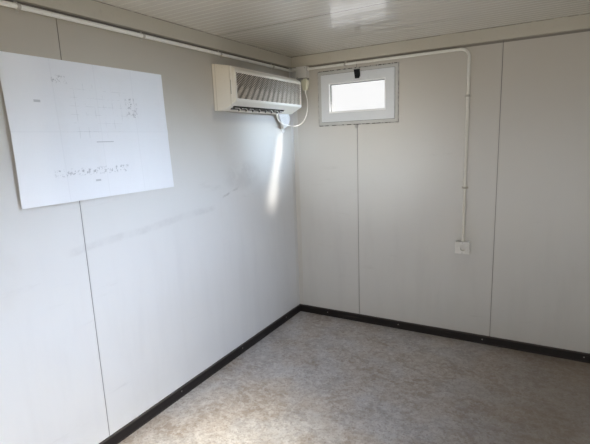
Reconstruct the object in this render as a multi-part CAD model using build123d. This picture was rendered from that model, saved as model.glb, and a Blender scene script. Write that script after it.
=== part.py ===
from build123d import *
import os
from math import radians, tan

os.makedirs("parts", exist_ok=True)

# Corner module of a portable site cabin, in millimetres: the end wall with its high window, three bays
# of the long wall, and the floor and roof over them, in a welded steel frame. Its other long side and
# its near end are open, as on a module that is joined to the next one.
# The origin is at ground level under the middle of the module. +X runs along the end wall away from
# the long wall, +Y points out through the end wall, and +Z is up.

# Room
INNER_WIDTH = 2300
CEILING_HEIGHT = 2170
BAY = 1000
BAYS = 3

# Sandwich panels
WALL = 50
JOINT_GAP = 2
JOINT_REBATE = 6
TONGUE = 20
TONGUE_DEPTH = 10
TONGUE_CLEARANCE = 0.3
FIRST_END_JOINT = 568
FIRST_ROOF_JOINT = 945
CEILING_RIB_PITCH = 50
CEILING_RIB_WIDTH = 6
CEILING_RIB_DEPTH = 0.8
OUTER_RIB_PITCH = 100
OUTER_RIB_WIDTH = 12
OUTER_RIB_DEPTH = 1.5
ROOF_PANEL = 75
ROOF_RIB_HEIGHT = 35
ROOF_RIB_TOP = 26
ROOF_RIB_FOOT = 70
ROOF_RIBS = 3
ROOF_END_CLEARANCE = 8

# Steel frame
STEEL = 5
ROOT_RADIUS = 6
BASE_HEIGHT = 140
BASE_LEDGE = 15
POST_LEG = 100
TOE_RADIUS = 2.5

# Floor
JOIST_HEIGHT = 100
JOIST_FLANGE = 50
JOIST_STEEL = 3
JOIST_PITCH = 300
COPE_DEPTH = 12
COPE_CLEARANCE = 1
FLOOR_BOARD = 18
VINYL = 2

# Linings
TRIM_STEEL = 1.5
CORNICE_DEPTH = 84
CORNICE_PROUD = 14
CORNICE_HEM = 5
SKIRTING_HEIGHT = 65
SKIRTING_THICKNESS = 10
SKIRTING_ROUND = 4
CORNER_TRIM_LEG = 42

# Window: across from the room's corner, down from the ceiling
WINDOW_LEFT = 245
WINDOW_BELOW_CEILING = 142
WINDOW_WIDTH = 643
WINDOW_HEIGHT = 411
FRAME_LIP = 12
FRAME_LIP_THICKNESS = 5
FRAME_BAR = 23
FRAME_BEVEL = 2
SASH_GAP = 2
SASH_STOP = 10
SASH_PROUD = 10
SASH_DEPTH = 42
SASH_BAR = 67
SASH_BEVEL = 1.5
BEAD_BAR = 10
BEAD_SLOPE = 8
BEAD_DEPTH = 14
GLASS = 5
HANDLE_OFFSET = 15
HANDLE_BELOW_FRAME = 14
HANDLE_BASE_WIDTH = 36
HANDLE_BASE_HEIGHT = 40
HANDLE_BASE_DEPTH = 12
HANDLE_TOP_WIDTH = 46
HANDLE_FOOT_WIDTH = 34
HANDLE_HEIGHT = 64
HANDLE_TOP_DEPTH = 18
HANDLE_FOOT_DEPTH = 11
HANDLE_ROUND = 4

# Cooling unit on the long wall
COOLER_LENGTH = 835
COOLER_FROM_END_WALL = 168
COOLER_BELOW_CEILING = 172
COOLER_HEIGHT = 286
COOLER_DEPTH = 177
COOLER_BACK_CASE = 25
COOLER_FRONT_SEAM = 137
COOLER_TOP_FALL = 28
COOLER_BROW = 32
COOLER_BROW_DROP = 25
COOLER_CHIN = 48
COOLER_CHIN_SET_BACK = 90
COOLER_ROUND = 12
COOLER_END_ROUND = 7
COOLER_INSET = 1.5
COOLER_SEAM = 1.5
LATCH_WIDTH = 4
LATCH_HEIGHT = 80
LATCH_BOTTOM = 94
LATCH_DEPTH = 4
GRILLE_MARGIN_NEAR = 13
GRILLE_MARGIN_FAR = 10
GRILLE_BOTTOM = 64
GRILLE_TOP = 68
GRILLE_RECESS = 12
SLAT = 3
SLAT_DEPTH = 5
SLAT_PITCH = 7
GRILLE_RIB = 4
GRILLE_RIBS = 9
OUTLET_NEAR = 36
OUTLET_FAR = 178
OUTLET_WIDTH = 36
OUTLET_DEPTH = 30
LOUVRE_BLADE = 8
LOUVRE_THICKNESS = 3
VANES = 7
VANE = 3
VANE_DEPTH = 14

# Pipe bundle under the cooling unit, from the room's corner and down from the unit
BUNDLE_TOP = (56, -252)
BUNDLE_TOP_RADII = (74, 26)
BUNDLE_MIDDLE = (38, -205, 66)
BUNDLE_MIDDLE_RADII = (44, 25)
BUNDLE_FOOT = (-168, 118)
BUNDLE_FOOT_RADIUS = 26

# Surface wiring
CONDUIT_RADIUS = 10
CONDUIT_OUT = 14
CONDUIT_BELOW_CORNICE = 23
CORNER_BEND = 30
CONDUIT_BEND = 55
CONDUIT_DROP = 1367
COLLAR_RADIUS = 13
COLLAR_LENGTH = 9
CLIP_PITCH = 620
CLIP_WIDTH = 14
CLIP_STRAP = 1.5
CLIP_EAR = 10
CLIP_CLEARANCE = 0.2
BOX_SEAM = 1.5
BOX_SEAM_DEPTH = 1
BOX_LID = 10
JUNCTION_LEFT = 70
JUNCTION_BELOW_CORNICE = 3
JUNCTION_SIZE = 93
JUNCTION_DEPTH = 50
JUNCTION_ROUND = 4
PLUG_LEFT = 118
PLUG_BELOW_JUNCTION = 14
PLUG_WIDTH = 52
PLUG_HEIGHT = 76
PLUG_DEPTH = 50
PLUG_ROUND = 6
PLUG_NECK = 30
PLUG_STAND_OFF = 10
PLUG_GRIP = 0.6
SOCKET_LEFT = 1318
SOCKET_BOTTOM = 671
SOCKET_WIDTH = 98
SOCKET_HEIGHT = 86
SOCKET_DEPTH = 45
SOCKET_ROUND = 5
SOCKET_PLATE = 64
SOCKET_PLATE_OFFSET = 6
SOCKET_PLATE_DEPTH = 4
SOCKET_BODY_RADIUS = 25
SOCKET_BODY_DEPTH = 20
SOCKET_BODY_CLEARANCE = 0.3
SOCKET_WELL_RADIUS = 20
SOCKET_WELL_DEPTH = 17
PIN_RADIUS = 2.6
PIN_DEPTH = 4
PIN_PITCH = 19

# Power cord of the cooling unit: its route, chosen by hand. Each point is its distance out from the
# long wall, its place along that wall from the corner, and its height above the unit's underside.
CORD_DIAMETER = 8
CORD_ROUTE = [
    (76, -372, 0),
    (76, -372, -22),
    (76, -361, -46),
    (78, -336, -65),
    (83, -296, -78),
    (92, -250, -87),
    (107, -205, -93),
    (128, -160, -92),
    (152, -118, -70),
    (168, -88, -26),
    (173, -66, 34),
    (168, -50, 94),
    (157, -42, 138),
    (144, -35, 164),
    (144, -35, 188),
]

# Sheet of drawings taped to the long wall, standing off it at its lower near corner
SHEET_WIDTH = 841
SHEET_HEIGHT = 610
SHEET_FROM_END_WALL = 1430
SHEET_BELOW_CEILING = 284
SHEET_SPACE = 3
SHEET_LIFT = 32
SHEET_LIFT_FAR = 28
SHEET_STAND_OFF = 0.3

# Places that follow from the sizes above
LENGTH = BAY * BAYS
FRAME_OUT = WALL + STEEL
X_WALL = -INNER_WIDTH / 2
X_OPEN = INNER_WIDTH / 2 + WALL
Y_END = (LENGTH - WALL) / 2
Y_NEAR = Y_END - LENGTH
FRAME_X = INNER_WIDTH / 2 + FRAME_OUT
FRAME_Y = Y_END + FRAME_OUT
FLOOR = BASE_HEIGHT + FLOOR_BOARD + VINYL
CEILING = FLOOR + CEILING_HEIGHT
WALL_TOP = CEILING - STEEL
ROOF_RAIL_HEIGHT = STEEL + ROOF_PANEL + ROOF_RIB_HEIGHT + STEEL
ROOF_TOP = WALL_TOP + ROOF_RAIL_HEIGHT
CORNICE_BOTTOM = CEILING_HEIGHT - CORNICE_DEPTH
WINDOW_SILL = CEILING_HEIGHT - WINDOW_BELOW_CEILING - WINDOW_HEIGHT
COOLER_BOTTOM = CEILING_HEIGHT - COOLER_BELOW_CEILING - COOLER_HEIGHT
COOLER_NEAR = -COOLER_FROM_END_WALL - COOLER_LENGTH
CONDUIT_HEIGHT = CORNICE_BOTTOM - CONDUIT_BELOW_CORNICE
JUNCTION_BOTTOM = CORNICE_BOTTOM - JUNCTION_BELOW_CORNICE - JUNCTION_SIZE
PLUG_BOTTOM = JUNCTION_BOTTOM - PLUG_BELOW_JUNCTION - PLUG_HEIGHT
SHEET_TOP = CEILING_HEIGHT - SHEET_BELOW_CEILING
SOCKET_X = SOCKET_LEFT + SOCKET_WIDTH / 2 + SOCKET_PLATE_OFFSET
SOCKET_Z = SOCKET_BOTTOM + SOCKET_HEIGHT / 2


def room(x, y, z):
    """A point given from the room's corner at floor level, in the part's own frame."""
    return Vector(X_WALL + x, Y_END + y, FLOOR + z)


def sheet(points, bend, steel=TRIM_STEEL, side=Side.LEFT):
    """Section of a sheet folded along the points, with its thickness to one side of them."""
    return make_face(offset(FilletPolyline(*points, radius=bend), amount=steel, side=side, closed=True))


def outline(points):
    return make_face(Polyline(*points, close=True))


def run(section, origin, across, up, along, length):
    """Draws a section on the axes across and up at the origin, and extrudes it."""
    normal = Vector(*across).cross(Vector(*up))
    plane = Plane(origin=origin, x_dir=across, z_dir=normal)
    return extrude(plane * section, amount=length, dir=Vector(*along))


def slab(low, high):
    """A box between two corners."""
    size = [b - a for a, b in zip(low, high)]
    return Pos(*low) * Box(*size, align=Align.MIN)


def save(name, shape):
    shape.label = name
    export_step(shape, f"parts/{name}.step")


# Steel frame: mitred channels at the base and the roof, with angle posts between them

def channel(height, flange):
    """Channel section with its web on the line u = 0 and its flanges towards +u."""
    face = outline([
        (0, 0), (flange, 0), (flange, STEEL), (STEEL, STEEL),
        (STEEL, height - STEEL), (flange, height - STEEL), (flange, height), (0, height),
    ])
    roots = [v for v in face.vertices() if abs(v.X - STEEL) < 0.01]
    return fillet(roots, ROOT_RADIUS)


def mitre_prism(side, flange, bottom, height):
    """Space that one side of the frame fills between its two mitres."""
    inner_x, inner_y = FRAME_X - flange, FRAME_Y - flange
    corners = {
        "far": [(-FRAME_X, FRAME_Y), (FRAME_X, FRAME_Y), (inner_x, inner_y), (-inner_x, inner_y)],
        "near": [(-FRAME_X, -FRAME_Y), (FRAME_X, -FRAME_Y), (inner_x, -inner_y), (-inner_x, -inner_y)],
        "left": [(-FRAME_X, -FRAME_Y), (-FRAME_X, FRAME_Y), (-inner_x, inner_y), (-inner_x, -inner_y)],
        "right": [(FRAME_X, -FRAME_Y), (FRAME_X, FRAME_Y), (inner_x, inner_y), (inner_x, -inner_y)],
    }
    return extrude(Pos(0, 0, bottom) * outline(corners[side]), amount=height, dir=Vector(0, 0, 1))


def rail(side, bottom, height, flange):
    """One side of a rectangular channel frame, cut at 45 degrees at both ends."""
    starts = {
        "far": ((-FRAME_X, FRAME_Y, bottom), (0, -1, 0), (1, 0, 0), 2 * FRAME_X),
        "near": ((-FRAME_X, -FRAME_Y, bottom), (0, 1, 0), (1, 0, 0), 2 * FRAME_X),
        "left": ((-FRAME_X, -FRAME_Y, bottom), (1, 0, 0), (0, 1, 0), 2 * FRAME_Y),
        "right": ((FRAME_X, -FRAME_Y, bottom), (-1, 0, 0), (0, 1, 0), 2 * FRAME_Y),
    }
    origin, across, along, length = starts[side]
    bar = run(channel(height, flange), origin, across, (0, 0, 1), along, length)
    return bar & mitre_prism(side, flange, bottom, height)


def corner_post(x_sign, y_sign):
    """Angle post with its heel at one outer corner of the frame."""
    face = outline([
        (0, 0), (POST_LEG, 0), (POST_LEG, STEEL), (STEEL, STEEL), (STEEL, POST_LEG), (0, POST_LEG),
    ])
    toes = [v for v in face.vertices() if abs(v.X + v.Y - POST_LEG - STEEL) < 0.01]
    face = fillet(toes, TOE_RADIUS)
    origin = (x_sign * FRAME_X, y_sign * FRAME_Y, BASE_HEIGHT)
    return run(face, origin, (-x_sign, 0, 0), (0, -y_sign, 0), (0, 0, 1), WALL_TOP - BASE_HEIGHT)


# Floor: coped joists between the long rails, a board on them and a sheet of vinyl

def floor_joists(flange):
    """Channel joists from web to web, coped at the top to pass under the rails' flanges."""
    half = FRAME_X - STEEL
    span = 2 * (FRAME_Y - flange)
    count = round(span / JOIST_PITCH) - 1
    pitch = span / (count + 1)
    face = sheet(
        [(JOIST_FLANGE, 0), (0, 0), (0, JOIST_HEIGHT), (JOIST_FLANGE, JOIST_HEIGHT)],
        JOIST_STEEL, JOIST_STEEL, Side.RIGHT)
    cope = flange - STEEL + COPE_CLEARANCE
    joists = []
    for i in range(count):
        y = FRAME_Y - flange - (i + 1) * pitch - JOIST_FLANGE / 2
        top = BASE_HEIGHT
        bar = run(face, (-half, y, top - JOIST_HEIGHT), (0, 1, 0), (0, 0, 1), (1, 0, 0), 2 * half)
        for x in (-half, half - cope):
            bar -= slab((x, y - JOIST_FLANGE, top - COPE_DEPTH), (x + cope, y + 2 * JOIST_FLANGE, top))
        joists.append(bar)
    return Compound(joists)


def floor_layer(bottom, thickness):
    return slab((X_WALL, Y_NEAR, bottom), (X_OPEN, Y_END, bottom + thickness))


# Sandwich panels with a tongue on one edge and a groove on the other

def grooves(width, pitch, groove, depth, level):
    """Points of the shallow grooves along one face of a panel, in the order of rising u."""
    points = []
    count = int((width - 2 * groove) / pitch)
    first = (width - (count - 1) * pitch) / 2
    for i in range(count):
        u = first + i * pitch
        points += [
            (u - groove / 2, level), (u - groove / 4, level + depth),
            (u + groove / 4, level + depth), (u + groove / 2, level),
        ]
    return points


def panel_section(width, thickness, start, end, room_face=(), outer_face=()):
    """Section of a panel: u runs across its width and v from its room face to its outer face."""
    half_gap = JOINT_GAP / 2
    low = thickness / 2 - TONGUE / 2
    high = thickness / 2 + TONGUE / 2
    points = list(room_face)
    if end == "plain":
        points += [(width, 0), (width, thickness)]
    else:
        points += [
            (width - half_gap, 0), (width - half_gap, JOINT_REBATE), (width, JOINT_REBATE),
            (width, low), (width + TONGUE_DEPTH, low), (width + TONGUE_DEPTH, high), (width, high),
            (width, thickness - JOINT_REBATE), (width - half_gap, thickness - JOINT_REBATE),
            (width - half_gap, thickness),
        ]
    points += list(outer_face)
    if start == "plain":
        points += [(0, thickness), (0, 0)]
    else:
        low -= TONGUE_CLEARANCE
        high += TONGUE_CLEARANCE
        depth = TONGUE_DEPTH + TONGUE_CLEARANCE
        points += [
            (half_gap, thickness), (half_gap, thickness - JOINT_REBATE), (0, thickness - JOINT_REBATE),
            (0, high), (depth, high), (depth, low), (0, low),
            (0, JOINT_REBATE), (half_gap, JOINT_REBATE), (half_gap, 0),
        ]
    return outline(points)


def wall_section(width, start, end):
    """Wall panel, smooth inside and with shallow grooves outside."""
    outer = grooves(width, OUTER_RIB_PITCH, OUTER_RIB_WIDTH, -OUTER_RIB_DEPTH, WALL)
    return panel_section(width, WALL, start, end, outer_face=reversed(outer))


def side_wall_panel(index):
    start = "plain" if index == 0 else "groove"
    end = "plain" if index == BAYS - 1 else "tongue"
    face = wall_section(BAY, start, end)
    origin = (X_WALL, Y_END - index * BAY, BASE_HEIGHT)
    return run(face, origin, (0, -1, 0), (-1, 0, 0), (0, 0, 1), WALL_TOP - BASE_HEIGHT)


def end_wall_panels():
    """Panels of the end wall, the first two cut away for the window."""
    joints = [-WALL, FIRST_END_JOINT, FIRST_END_JOINT + BAY, INNER_WIDTH + WALL]
    last = len(joints) - 2
    hole = slab(room(WINDOW_LEFT + FRAME_LIP, -WALL, WINDOW_SILL + FRAME_LIP),
                room(WINDOW_LEFT + WINDOW_WIDTH - FRAME_LIP, 2 * WALL,
                     WINDOW_SILL + WINDOW_HEIGHT - FRAME_LIP))
    panels = []
    for i in range(last + 1):
        start = "plain" if i == 0 else "groove"
        end = "plain" if i == last else "tongue"
        face = wall_section(joints[i + 1] - joints[i], start, end)
        origin = (X_WALL + joints[i], Y_END, BASE_HEIGHT)
        panel = run(face, origin, (1, 0, 0), (0, 1, 0), (0, 0, 1), WALL_TOP - BASE_HEIGHT)
        panels.append(panel - hole)
    return panels


def roof_panel(index):
    """Roof panel across the cabin, flat below and ribbed on top."""
    edges = [-WALL + ROOF_END_CLEARANCE]
    edges += [FIRST_ROOF_JOINT + i * BAY for i in range(BAYS - 1)]
    edges += [LENGTH - ROOF_END_CLEARANCE]
    far = Y_END - edges[index]
    width = edges[index + 1] - edges[index]
    start = "plain" if index == 0 else "groove"
    end = "plain" if index == BAYS - 1 else "tongue"
    length = 2 * (FRAME_X - STEEL - ROOF_END_CLEARANCE)
    origin = (length / 2, far, CEILING)
    axes = ((0, -1, 0), (0, 0, 1), (-1, 0, 0))
    ceiling = grooves(width, CEILING_RIB_PITCH, CEILING_RIB_WIDTH, CEILING_RIB_DEPTH, 0)
    panel = run(panel_section(width, ROOF_PANEL, start, end, room_face=ceiling), origin, *axes, length)
    for i in range(ROOF_RIBS):
        middle = (i + 0.5) * BAY / ROOF_RIBS
        rib = outline([
            (middle - ROOF_RIB_FOOT / 2, ROOF_PANEL), (middle + ROOF_RIB_FOOT / 2, ROOF_PANEL),
            (middle + ROOF_RIB_TOP / 2, ROOF_PANEL + ROOF_RIB_HEIGHT),
            (middle - ROOF_RIB_TOP / 2, ROOF_PANEL + ROOF_RIB_HEIGHT),
        ])
        panel += run(rib, origin, *axes, length)
    return panel


# Linings, mitred where the two walls meet

def corner_half(wall):
    """Space on one side of the room corner's diagonal."""
    reach = 2 * LENGTH
    top_left = (X_WALL - reach, Y_END + reach)
    bottom_right = (X_WALL + reach, Y_END - reach)
    third = (X_WALL - reach, Y_END - reach) if wall == "side" else (X_WALL + reach, Y_END + reach)
    return extrude(outline([top_left, bottom_right, third]), amount=2 * CEILING, dir=Vector(0, 0, 1))


def lining(section, height, wall, short=0):
    """A moulding along one wall, from the room's corner to short of the open edge."""
    origin = (X_WALL, Y_END, FLOOR + height)
    if wall == "side":
        bar = run(section, origin, (1, 0, 0), (0, 0, 1), (0, -1, 0), Y_END - Y_NEAR - short)
    else:
        bar = run(section, origin, (0, -1, 0), (0, 0, 1), (1, 0, 0), X_OPEN - X_WALL - short)
    return bar & corner_half(wall)


def cornice_section():
    """Folded cover under the ceiling with a hemmed lip at its lower edge."""
    return sheet([
        (0, CORNICE_DEPTH), (CORNICE_PROUD, CORNICE_DEPTH), (CORNICE_PROUD, CORNICE_HEM),
        (CORNICE_PROUD - CORNICE_HEM, 0), (0, 0),
    ], TRIM_STEEL, TRIM_STEEL, Side.RIGHT)


def skirting_section():
    face = outline([
        (0, 0), (SKIRTING_THICKNESS, 0), (SKIRTING_THICKNESS, SKIRTING_HEIGHT), (0, SKIRTING_HEIGHT),
    ])
    nose = [v for v in face.vertices() if v.X > 1 and v.Y > 1]
    return fillet(nose, SKIRTING_ROUND)


def corner_trim():
    """Angle over the joint of the two walls, from the skirting to the cornice."""
    bottom = SKIRTING_HEIGHT
    top = CORNICE_BOTTOM
    face = sheet([(CORNER_TRIM_LEG, 0), (0, 0), (0, CORNER_TRIM_LEG)], TRIM_STEEL, TRIM_STEEL, Side.RIGHT)
    return run(face, room(0, 0, bottom), (1, 0, 0), (0, -1, 0), (0, 0, 1), top - bottom)


# Window

def ring(low, high, bar, near, far):
    """Rectangular ring in the end wall between two depths, given from the room's corner."""
    outer = slab(room(low[0], near, low[1]), room(high[0], far, high[1]))
    inner = slab(room(low[0] + bar, near - WALL, low[1] + bar),
                 room(high[0] - bar, far + WALL, high[1] - bar))
    return outer - inner


def front_rims(solid):
    """Outer and inner edges of the face that looks into the room."""
    face = solid.faces().sort_by(Axis.Y)[0]
    return face.outer_wire().edges(), face.inner_wires()[0].edges()


def grown(low, high, amount):
    return tuple(v - amount for v in low), tuple(v + amount for v in high)


WINDOW_LOW = (WINDOW_LEFT, WINDOW_SILL)
WINDOW_HIGH = (WINDOW_LEFT + WINDOW_WIDTH, WINDOW_SILL + WINDOW_HEIGHT)


def window_frame():
    """Frame with a bevelled lip on each face of the wall and a stop behind the sash."""
    lip = ring(WINDOW_LOW, WINDOW_HIGH, FRAME_BAR, -FRAME_LIP_THICKNESS, 0)
    lip = chamfer(front_rims(lip)[0], FRAME_BEVEL)
    body = ring(*grown(WINDOW_LOW, WINDOW_HIGH, -FRAME_LIP), FRAME_BAR - FRAME_LIP, 0, WALL)
    stop = ring(*grown(WINDOW_LOW, WINDOW_HIGH, -FRAME_LIP), FRAME_BAR - FRAME_LIP + SASH_GAP + SASH_STOP,
                SASH_DEPTH - SASH_PROUD, WALL)
    outer_lip = ring(WINDOW_LOW, WINDOW_HIGH, FRAME_BAR, WALL, WALL + FRAME_LIP_THICKNESS)
    return lip + body + stop + outer_lip


def window_sash():
    """Sash with a sloping glazing bead round the pane."""
    low, high = grown(WINDOW_LOW, WINDOW_HIGH, -FRAME_BAR - SASH_GAP)
    face = -SASH_PROUD
    bars = ring(low, high, SASH_BAR, face, face + SASH_DEPTH)
    bars = chamfer(front_rims(bars)[0], SASH_BEVEL)
    low, high = grown(low, high, -SASH_BAR)
    bead = ring(low, high, BEAD_BAR, face, face + BEAD_DEPTH)
    bead = chamfer(front_rims(bead)[1], BEAD_SLOPE)
    seat = ring(low, high, BEAD_BAR, face + BEAD_DEPTH + GLASS, face + SASH_DEPTH)
    return bars + bead + seat


def window_glass():
    """Pane held between the bead and the sash's seat."""
    low, high = grown(WINDOW_LOW, WINDOW_HIGH, -FRAME_BAR - SASH_GAP - SASH_BAR)
    near = -SASH_PROUD + BEAD_DEPTH
    return slab(room(low[0], near, low[1]), room(high[0], near + GLASS, high[1]))


def window_handle():
    """Catch on the sash's top bar: a base and a lever that widens towards its top."""
    x = WINDOW_LEFT + WINDOW_WIDTH / 2 + HANDLE_OFFSET
    top = WINDOW_SILL + WINDOW_HEIGHT - HANDLE_BELOW_FRAME
    face = -SASH_PROUD
    front = face - HANDLE_BASE_DEPTH
    base_top = WINDOW_SILL + WINDOW_HEIGHT - FRAME_BAR - SASH_GAP - SASH_BEVEL
    half = HANDLE_BASE_WIDTH / 2
    base = slab(room(x - half, front, base_top - HANDLE_BASE_HEIGHT), room(x + half, face, base_top))
    base = fillet(base.edges().filter_by(Axis.Y), HANDLE_ROUND)
    ends = []
    for z, width, depth in ((top - HANDLE_HEIGHT, HANDLE_FOOT_WIDTH, HANDLE_FOOT_DEPTH),
                            (top, HANDLE_TOP_WIDTH, HANDLE_TOP_DEPTH)):
        plane = Plane(origin=room(x, front - depth / 2, z))
        ends.append(plane * RectangleRounded(width, depth, HANDLE_ROUND))
    return base + loft(ends)


# Cooling unit

def cooler_outline(grow=0):
    """End view of the unit, u out from the long wall and v up: it grows at its front and top."""
    d, h = COOLER_DEPTH, COOLER_HEIGHT
    chin = d - COOLER_CHIN_SET_BACK
    face = outline([
        (0, 0), (chin, 0), (d + grow, COOLER_CHIN),
        (d + grow, h - COOLER_TOP_FALL - COOLER_BROW_DROP),
        (d - COOLER_BROW, h - COOLER_TOP_FALL + grow), (0, h + grow),
    ])
    corners = [v for v in face.vertices() if v.X > COOLER_BACK_CASE + 1]
    return fillet(corners, COOLER_ROUND)


def cooler_part(low, high, grow=0, inset=0):
    """The unit's outline between two depths, extruded over its length and inset at both ends."""
    strip = Pos((low + high) / 2, COOLER_HEIGHT / 2) * Rectangle(high - low, 2 * COOLER_HEIGHT)
    origin = room(0, -COOLER_FROM_END_WALL - inset, COOLER_BOTTOM)
    length = COOLER_LENGTH - 2 * inset
    return run(cooler_outline(grow) & strip, origin, (1, 0, 0), (0, 0, 1), (0, -1, 0), length)


def rounded_ends(solid, radius, seams):
    """Rounds the rims of both end faces, apart from their upright edges at the seams."""
    rims = []
    for face in (solid.faces().sort_by(Axis.Y)[0], solid.faces().sort_by(Axis.Y)[-1]):
        for edge in face.edges():
            depth = edge.center().X - X_WALL
            if all(abs(depth - seam) > 0.01 for seam in seams):
                rims.append(edge)
    return fillet(rims, radius)


def cooler_back_case():
    return cooler_part(0, COOLER_BACK_CASE, 0, COOLER_INSET)


def cooler_housing():
    """Deep rear moulding with rounded ends, between the back case and the front."""
    body = cooler_part(COOLER_BACK_CASE, COOLER_FRONT_SEAM, COOLER_INSET)
    body = rounded_ends(body, COOLER_END_ROUND, (COOLER_BACK_CASE, COOLER_FRONT_SEAM))
    return body - outlet_space()


def cooler_front():
    """Front moulding with a set-back rim at its seam, a latch slot, a grille recess and the air outlet."""
    start = COOLER_FRONT_SEAM + COOLER_SEAM
    rim = cooler_part(COOLER_FRONT_SEAM, start, 0, COOLER_INSET)
    body = cooler_part(start, 2 * COOLER_DEPTH, COOLER_INSET)
    body = rounded_ends(body, COOLER_END_ROUND, (start,)) + rim
    y_near, y_far, z_low, z_high = grille_bounds()
    recess = slab(room(COOLER_DEPTH - GRILLE_RECESS, y_near, z_low),
                  room(COOLER_DEPTH + WALL, y_far, z_high))
    latch = slab(room(start, COOLER_NEAR - LATCH_DEPTH, COOLER_BOTTOM + LATCH_BOTTOM),
                 room(start + LATCH_WIDTH, COOLER_NEAR + LATCH_DEPTH,
                      COOLER_BOTTOM + LATCH_BOTTOM + LATCH_HEIGHT))
    return body - recess - latch - outlet_space()


def grille_bounds():
    """Room coordinates of the grille's edges: near, far, low and high."""
    return (COOLER_NEAR + GRILLE_MARGIN_NEAR, -COOLER_FROM_END_WALL - GRILLE_MARGIN_FAR,
            COOLER_BOTTOM + GRILLE_BOTTOM, COOLER_BOTTOM + COOLER_HEIGHT - GRILLE_TOP)


def outlet_plane():
    """Plane across the sloping chin, with u up the slope and v out of the unit."""
    slope = Vector(COOLER_CHIN_SET_BACK, 0, COOLER_CHIN).normalized()
    origin = room(COOLER_DEPTH - COOLER_CHIN_SET_BACK, -COOLER_FROM_END_WALL - OUTLET_FAR, COOLER_BOTTOM)
    return Plane(origin=origin, x_dir=slope, z_dir=Vector(0, -1, 0))


OUTLET_MIDDLE = 0.31 * (COOLER_CHIN_SET_BACK ** 2 + COOLER_CHIN ** 2) ** 0.5
OUTLET_LENGTH = COOLER_LENGTH - OUTLET_NEAR - OUTLET_FAR


def outlet_bar(u, width, low, high, start=0, length=OUTLET_LENGTH):
    """Bar along the air outlet, between two heights above the chin's surface."""
    face = Pos(u, (low + high) / 2) * Rectangle(width, high - low)
    plane = outlet_plane()
    return extrude(plane * Pos(0, 0, start) * face, amount=length)


def outlet_space():
    """Air outlet cut into the chin."""
    return outlet_bar(OUTLET_MIDDLE, OUTLET_WIDTH, -OUTLET_DEPTH, OUTLET_DEPTH)


def cooler_louvres():
    """Blade along the outlet, seated in both of its ends, with upright vanes behind it."""
    blade = outlet_bar(OUTLET_MIDDLE, LOUVRE_BLADE, -LOUVRE_THICKNESS, 0)
    pitch = OUTLET_LENGTH / (VANES + 1)
    for i in range(VANES):
        blade += outlet_bar(OUTLET_MIDDLE, OUTLET_WIDTH - VANE, -VANE_DEPTH, -LOUVRE_THICKNESS,
                            (i + 1) * pitch - VANE / 2, VANE)
    return blade


def cooler_grille():
    """Frame with level slats in front of upright ribs."""
    y_near, y_far, z_low, z_high = grille_bounds()
    back = COOLER_DEPTH - GRILLE_RECESS
    middle = COOLER_DEPTH - SLAT_DEPTH
    count = int((z_high - z_low) / SLAT_PITCH)
    pitch = (z_high - z_low - SLAT) / count
    bars = []
    for i in range(count + 1):
        z = z_low + i * pitch
        bars.append(slab(room(middle, y_near, z), room(COOLER_DEPTH, y_far, z + SLAT)))
    rib_pitch = (y_far - y_near - GRILLE_RIB) / (GRILLE_RIBS - 1)
    for i in range(GRILLE_RIBS):
        y = y_near + i * rib_pitch
        front = COOLER_DEPTH if i in (0, GRILLE_RIBS - 1) else middle
        bars.append(slab(room(back, y, z_low), room(front, y + GRILLE_RIB, z_high)))
    return bars[0].fuse(*bars[1:])


def pipe_bundle():
    """Wrapped pipes that spread under the unit and gather where they enter the long wall."""
    x, y, drop = BUNDLE_MIDDLE
    foot_y, foot_drop = BUNDLE_FOOT
    top = Plane(origin=room(*BUNDLE_TOP, COOLER_BOTTOM), x_dir=(0, -1, 0), z_dir=(0, 0, -1))
    middle = Plane(origin=room(x, y, COOLER_BOTTOM - drop), x_dir=(-3, -10, -3), z_dir=(-5, 3, -5))
    foot = Plane(origin=room(0, foot_y, COOLER_BOTTOM - foot_drop), x_dir=(0, -1, 0), z_dir=(-1, 0, 0))
    return loft([top * Ellipse(*BUNDLE_TOP_RADII), middle * Ellipse(*BUNDLE_MIDDLE_RADII),
                 foot * Circle(BUNDLE_FOOT_RADIUS)])


def cord_radii(points):
    """Radius of each bend: 0.45 of its shorter run, divided by the tangent of half the turn."""
    radii = []
    for a, b, c in zip(points, points[1:], points[2:]):
        turn = (b - a).get_angle(c - b)
        shorter = min((b - a).length, (c - b).length)
        radii.append(0.45 * shorter / tan(radians(turn / 2)))
    return radii


def power_cord():
    points = [room(x, y, COOLER_BOTTOM + z) for x, y, z in CORD_ROUTE]
    radii = cord_radii(points)
    path = FilletPolyline(*points, radius=radii)
    tube = sweep(Plane(origin=path @ 0, z_dir=path % 0) * Circle(CORD_DIAMETER / 2), path=path)
    print("cord length", round(path.length, 1), "radii", [round(r) for r in radii])
    return tube


# Surface wiring

def conduit(points, bend):
    """Conduit with a collar at each end."""
    path = FilletPolyline(*points, radius=bend)
    tube = sweep(Plane(origin=path @ 0, z_dir=path % 0) * Circle(CONDUIT_RADIUS), path=path)
    for end in (Plane(origin=path @ 0, z_dir=path % 0), Plane(origin=path @ 1, z_dir=-(path % 1))):
        tube += extrude(end * Circle(COLLAR_RADIUS), amount=COLLAR_LENGTH)
    return tube


def conduit_side():
    return conduit([
        room(CONDUIT_OUT, Y_NEAR - Y_END, CONDUIT_HEIGHT), room(CONDUIT_OUT, -CONDUIT_OUT, CONDUIT_HEIGHT),
        room(JUNCTION_LEFT, -CONDUIT_OUT, CONDUIT_HEIGHT),
    ], CORNER_BEND)


def conduit_end():
    return conduit([
        room(JUNCTION_LEFT + JUNCTION_SIZE, -CONDUIT_OUT, CONDUIT_HEIGHT),
        room(CONDUIT_DROP, -CONDUIT_OUT, CONDUIT_HEIGHT),
        room(CONDUIT_DROP, -CONDUIT_OUT, SOCKET_BOTTOM + SOCKET_HEIGHT),
    ], CONDUIT_BEND)


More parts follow.
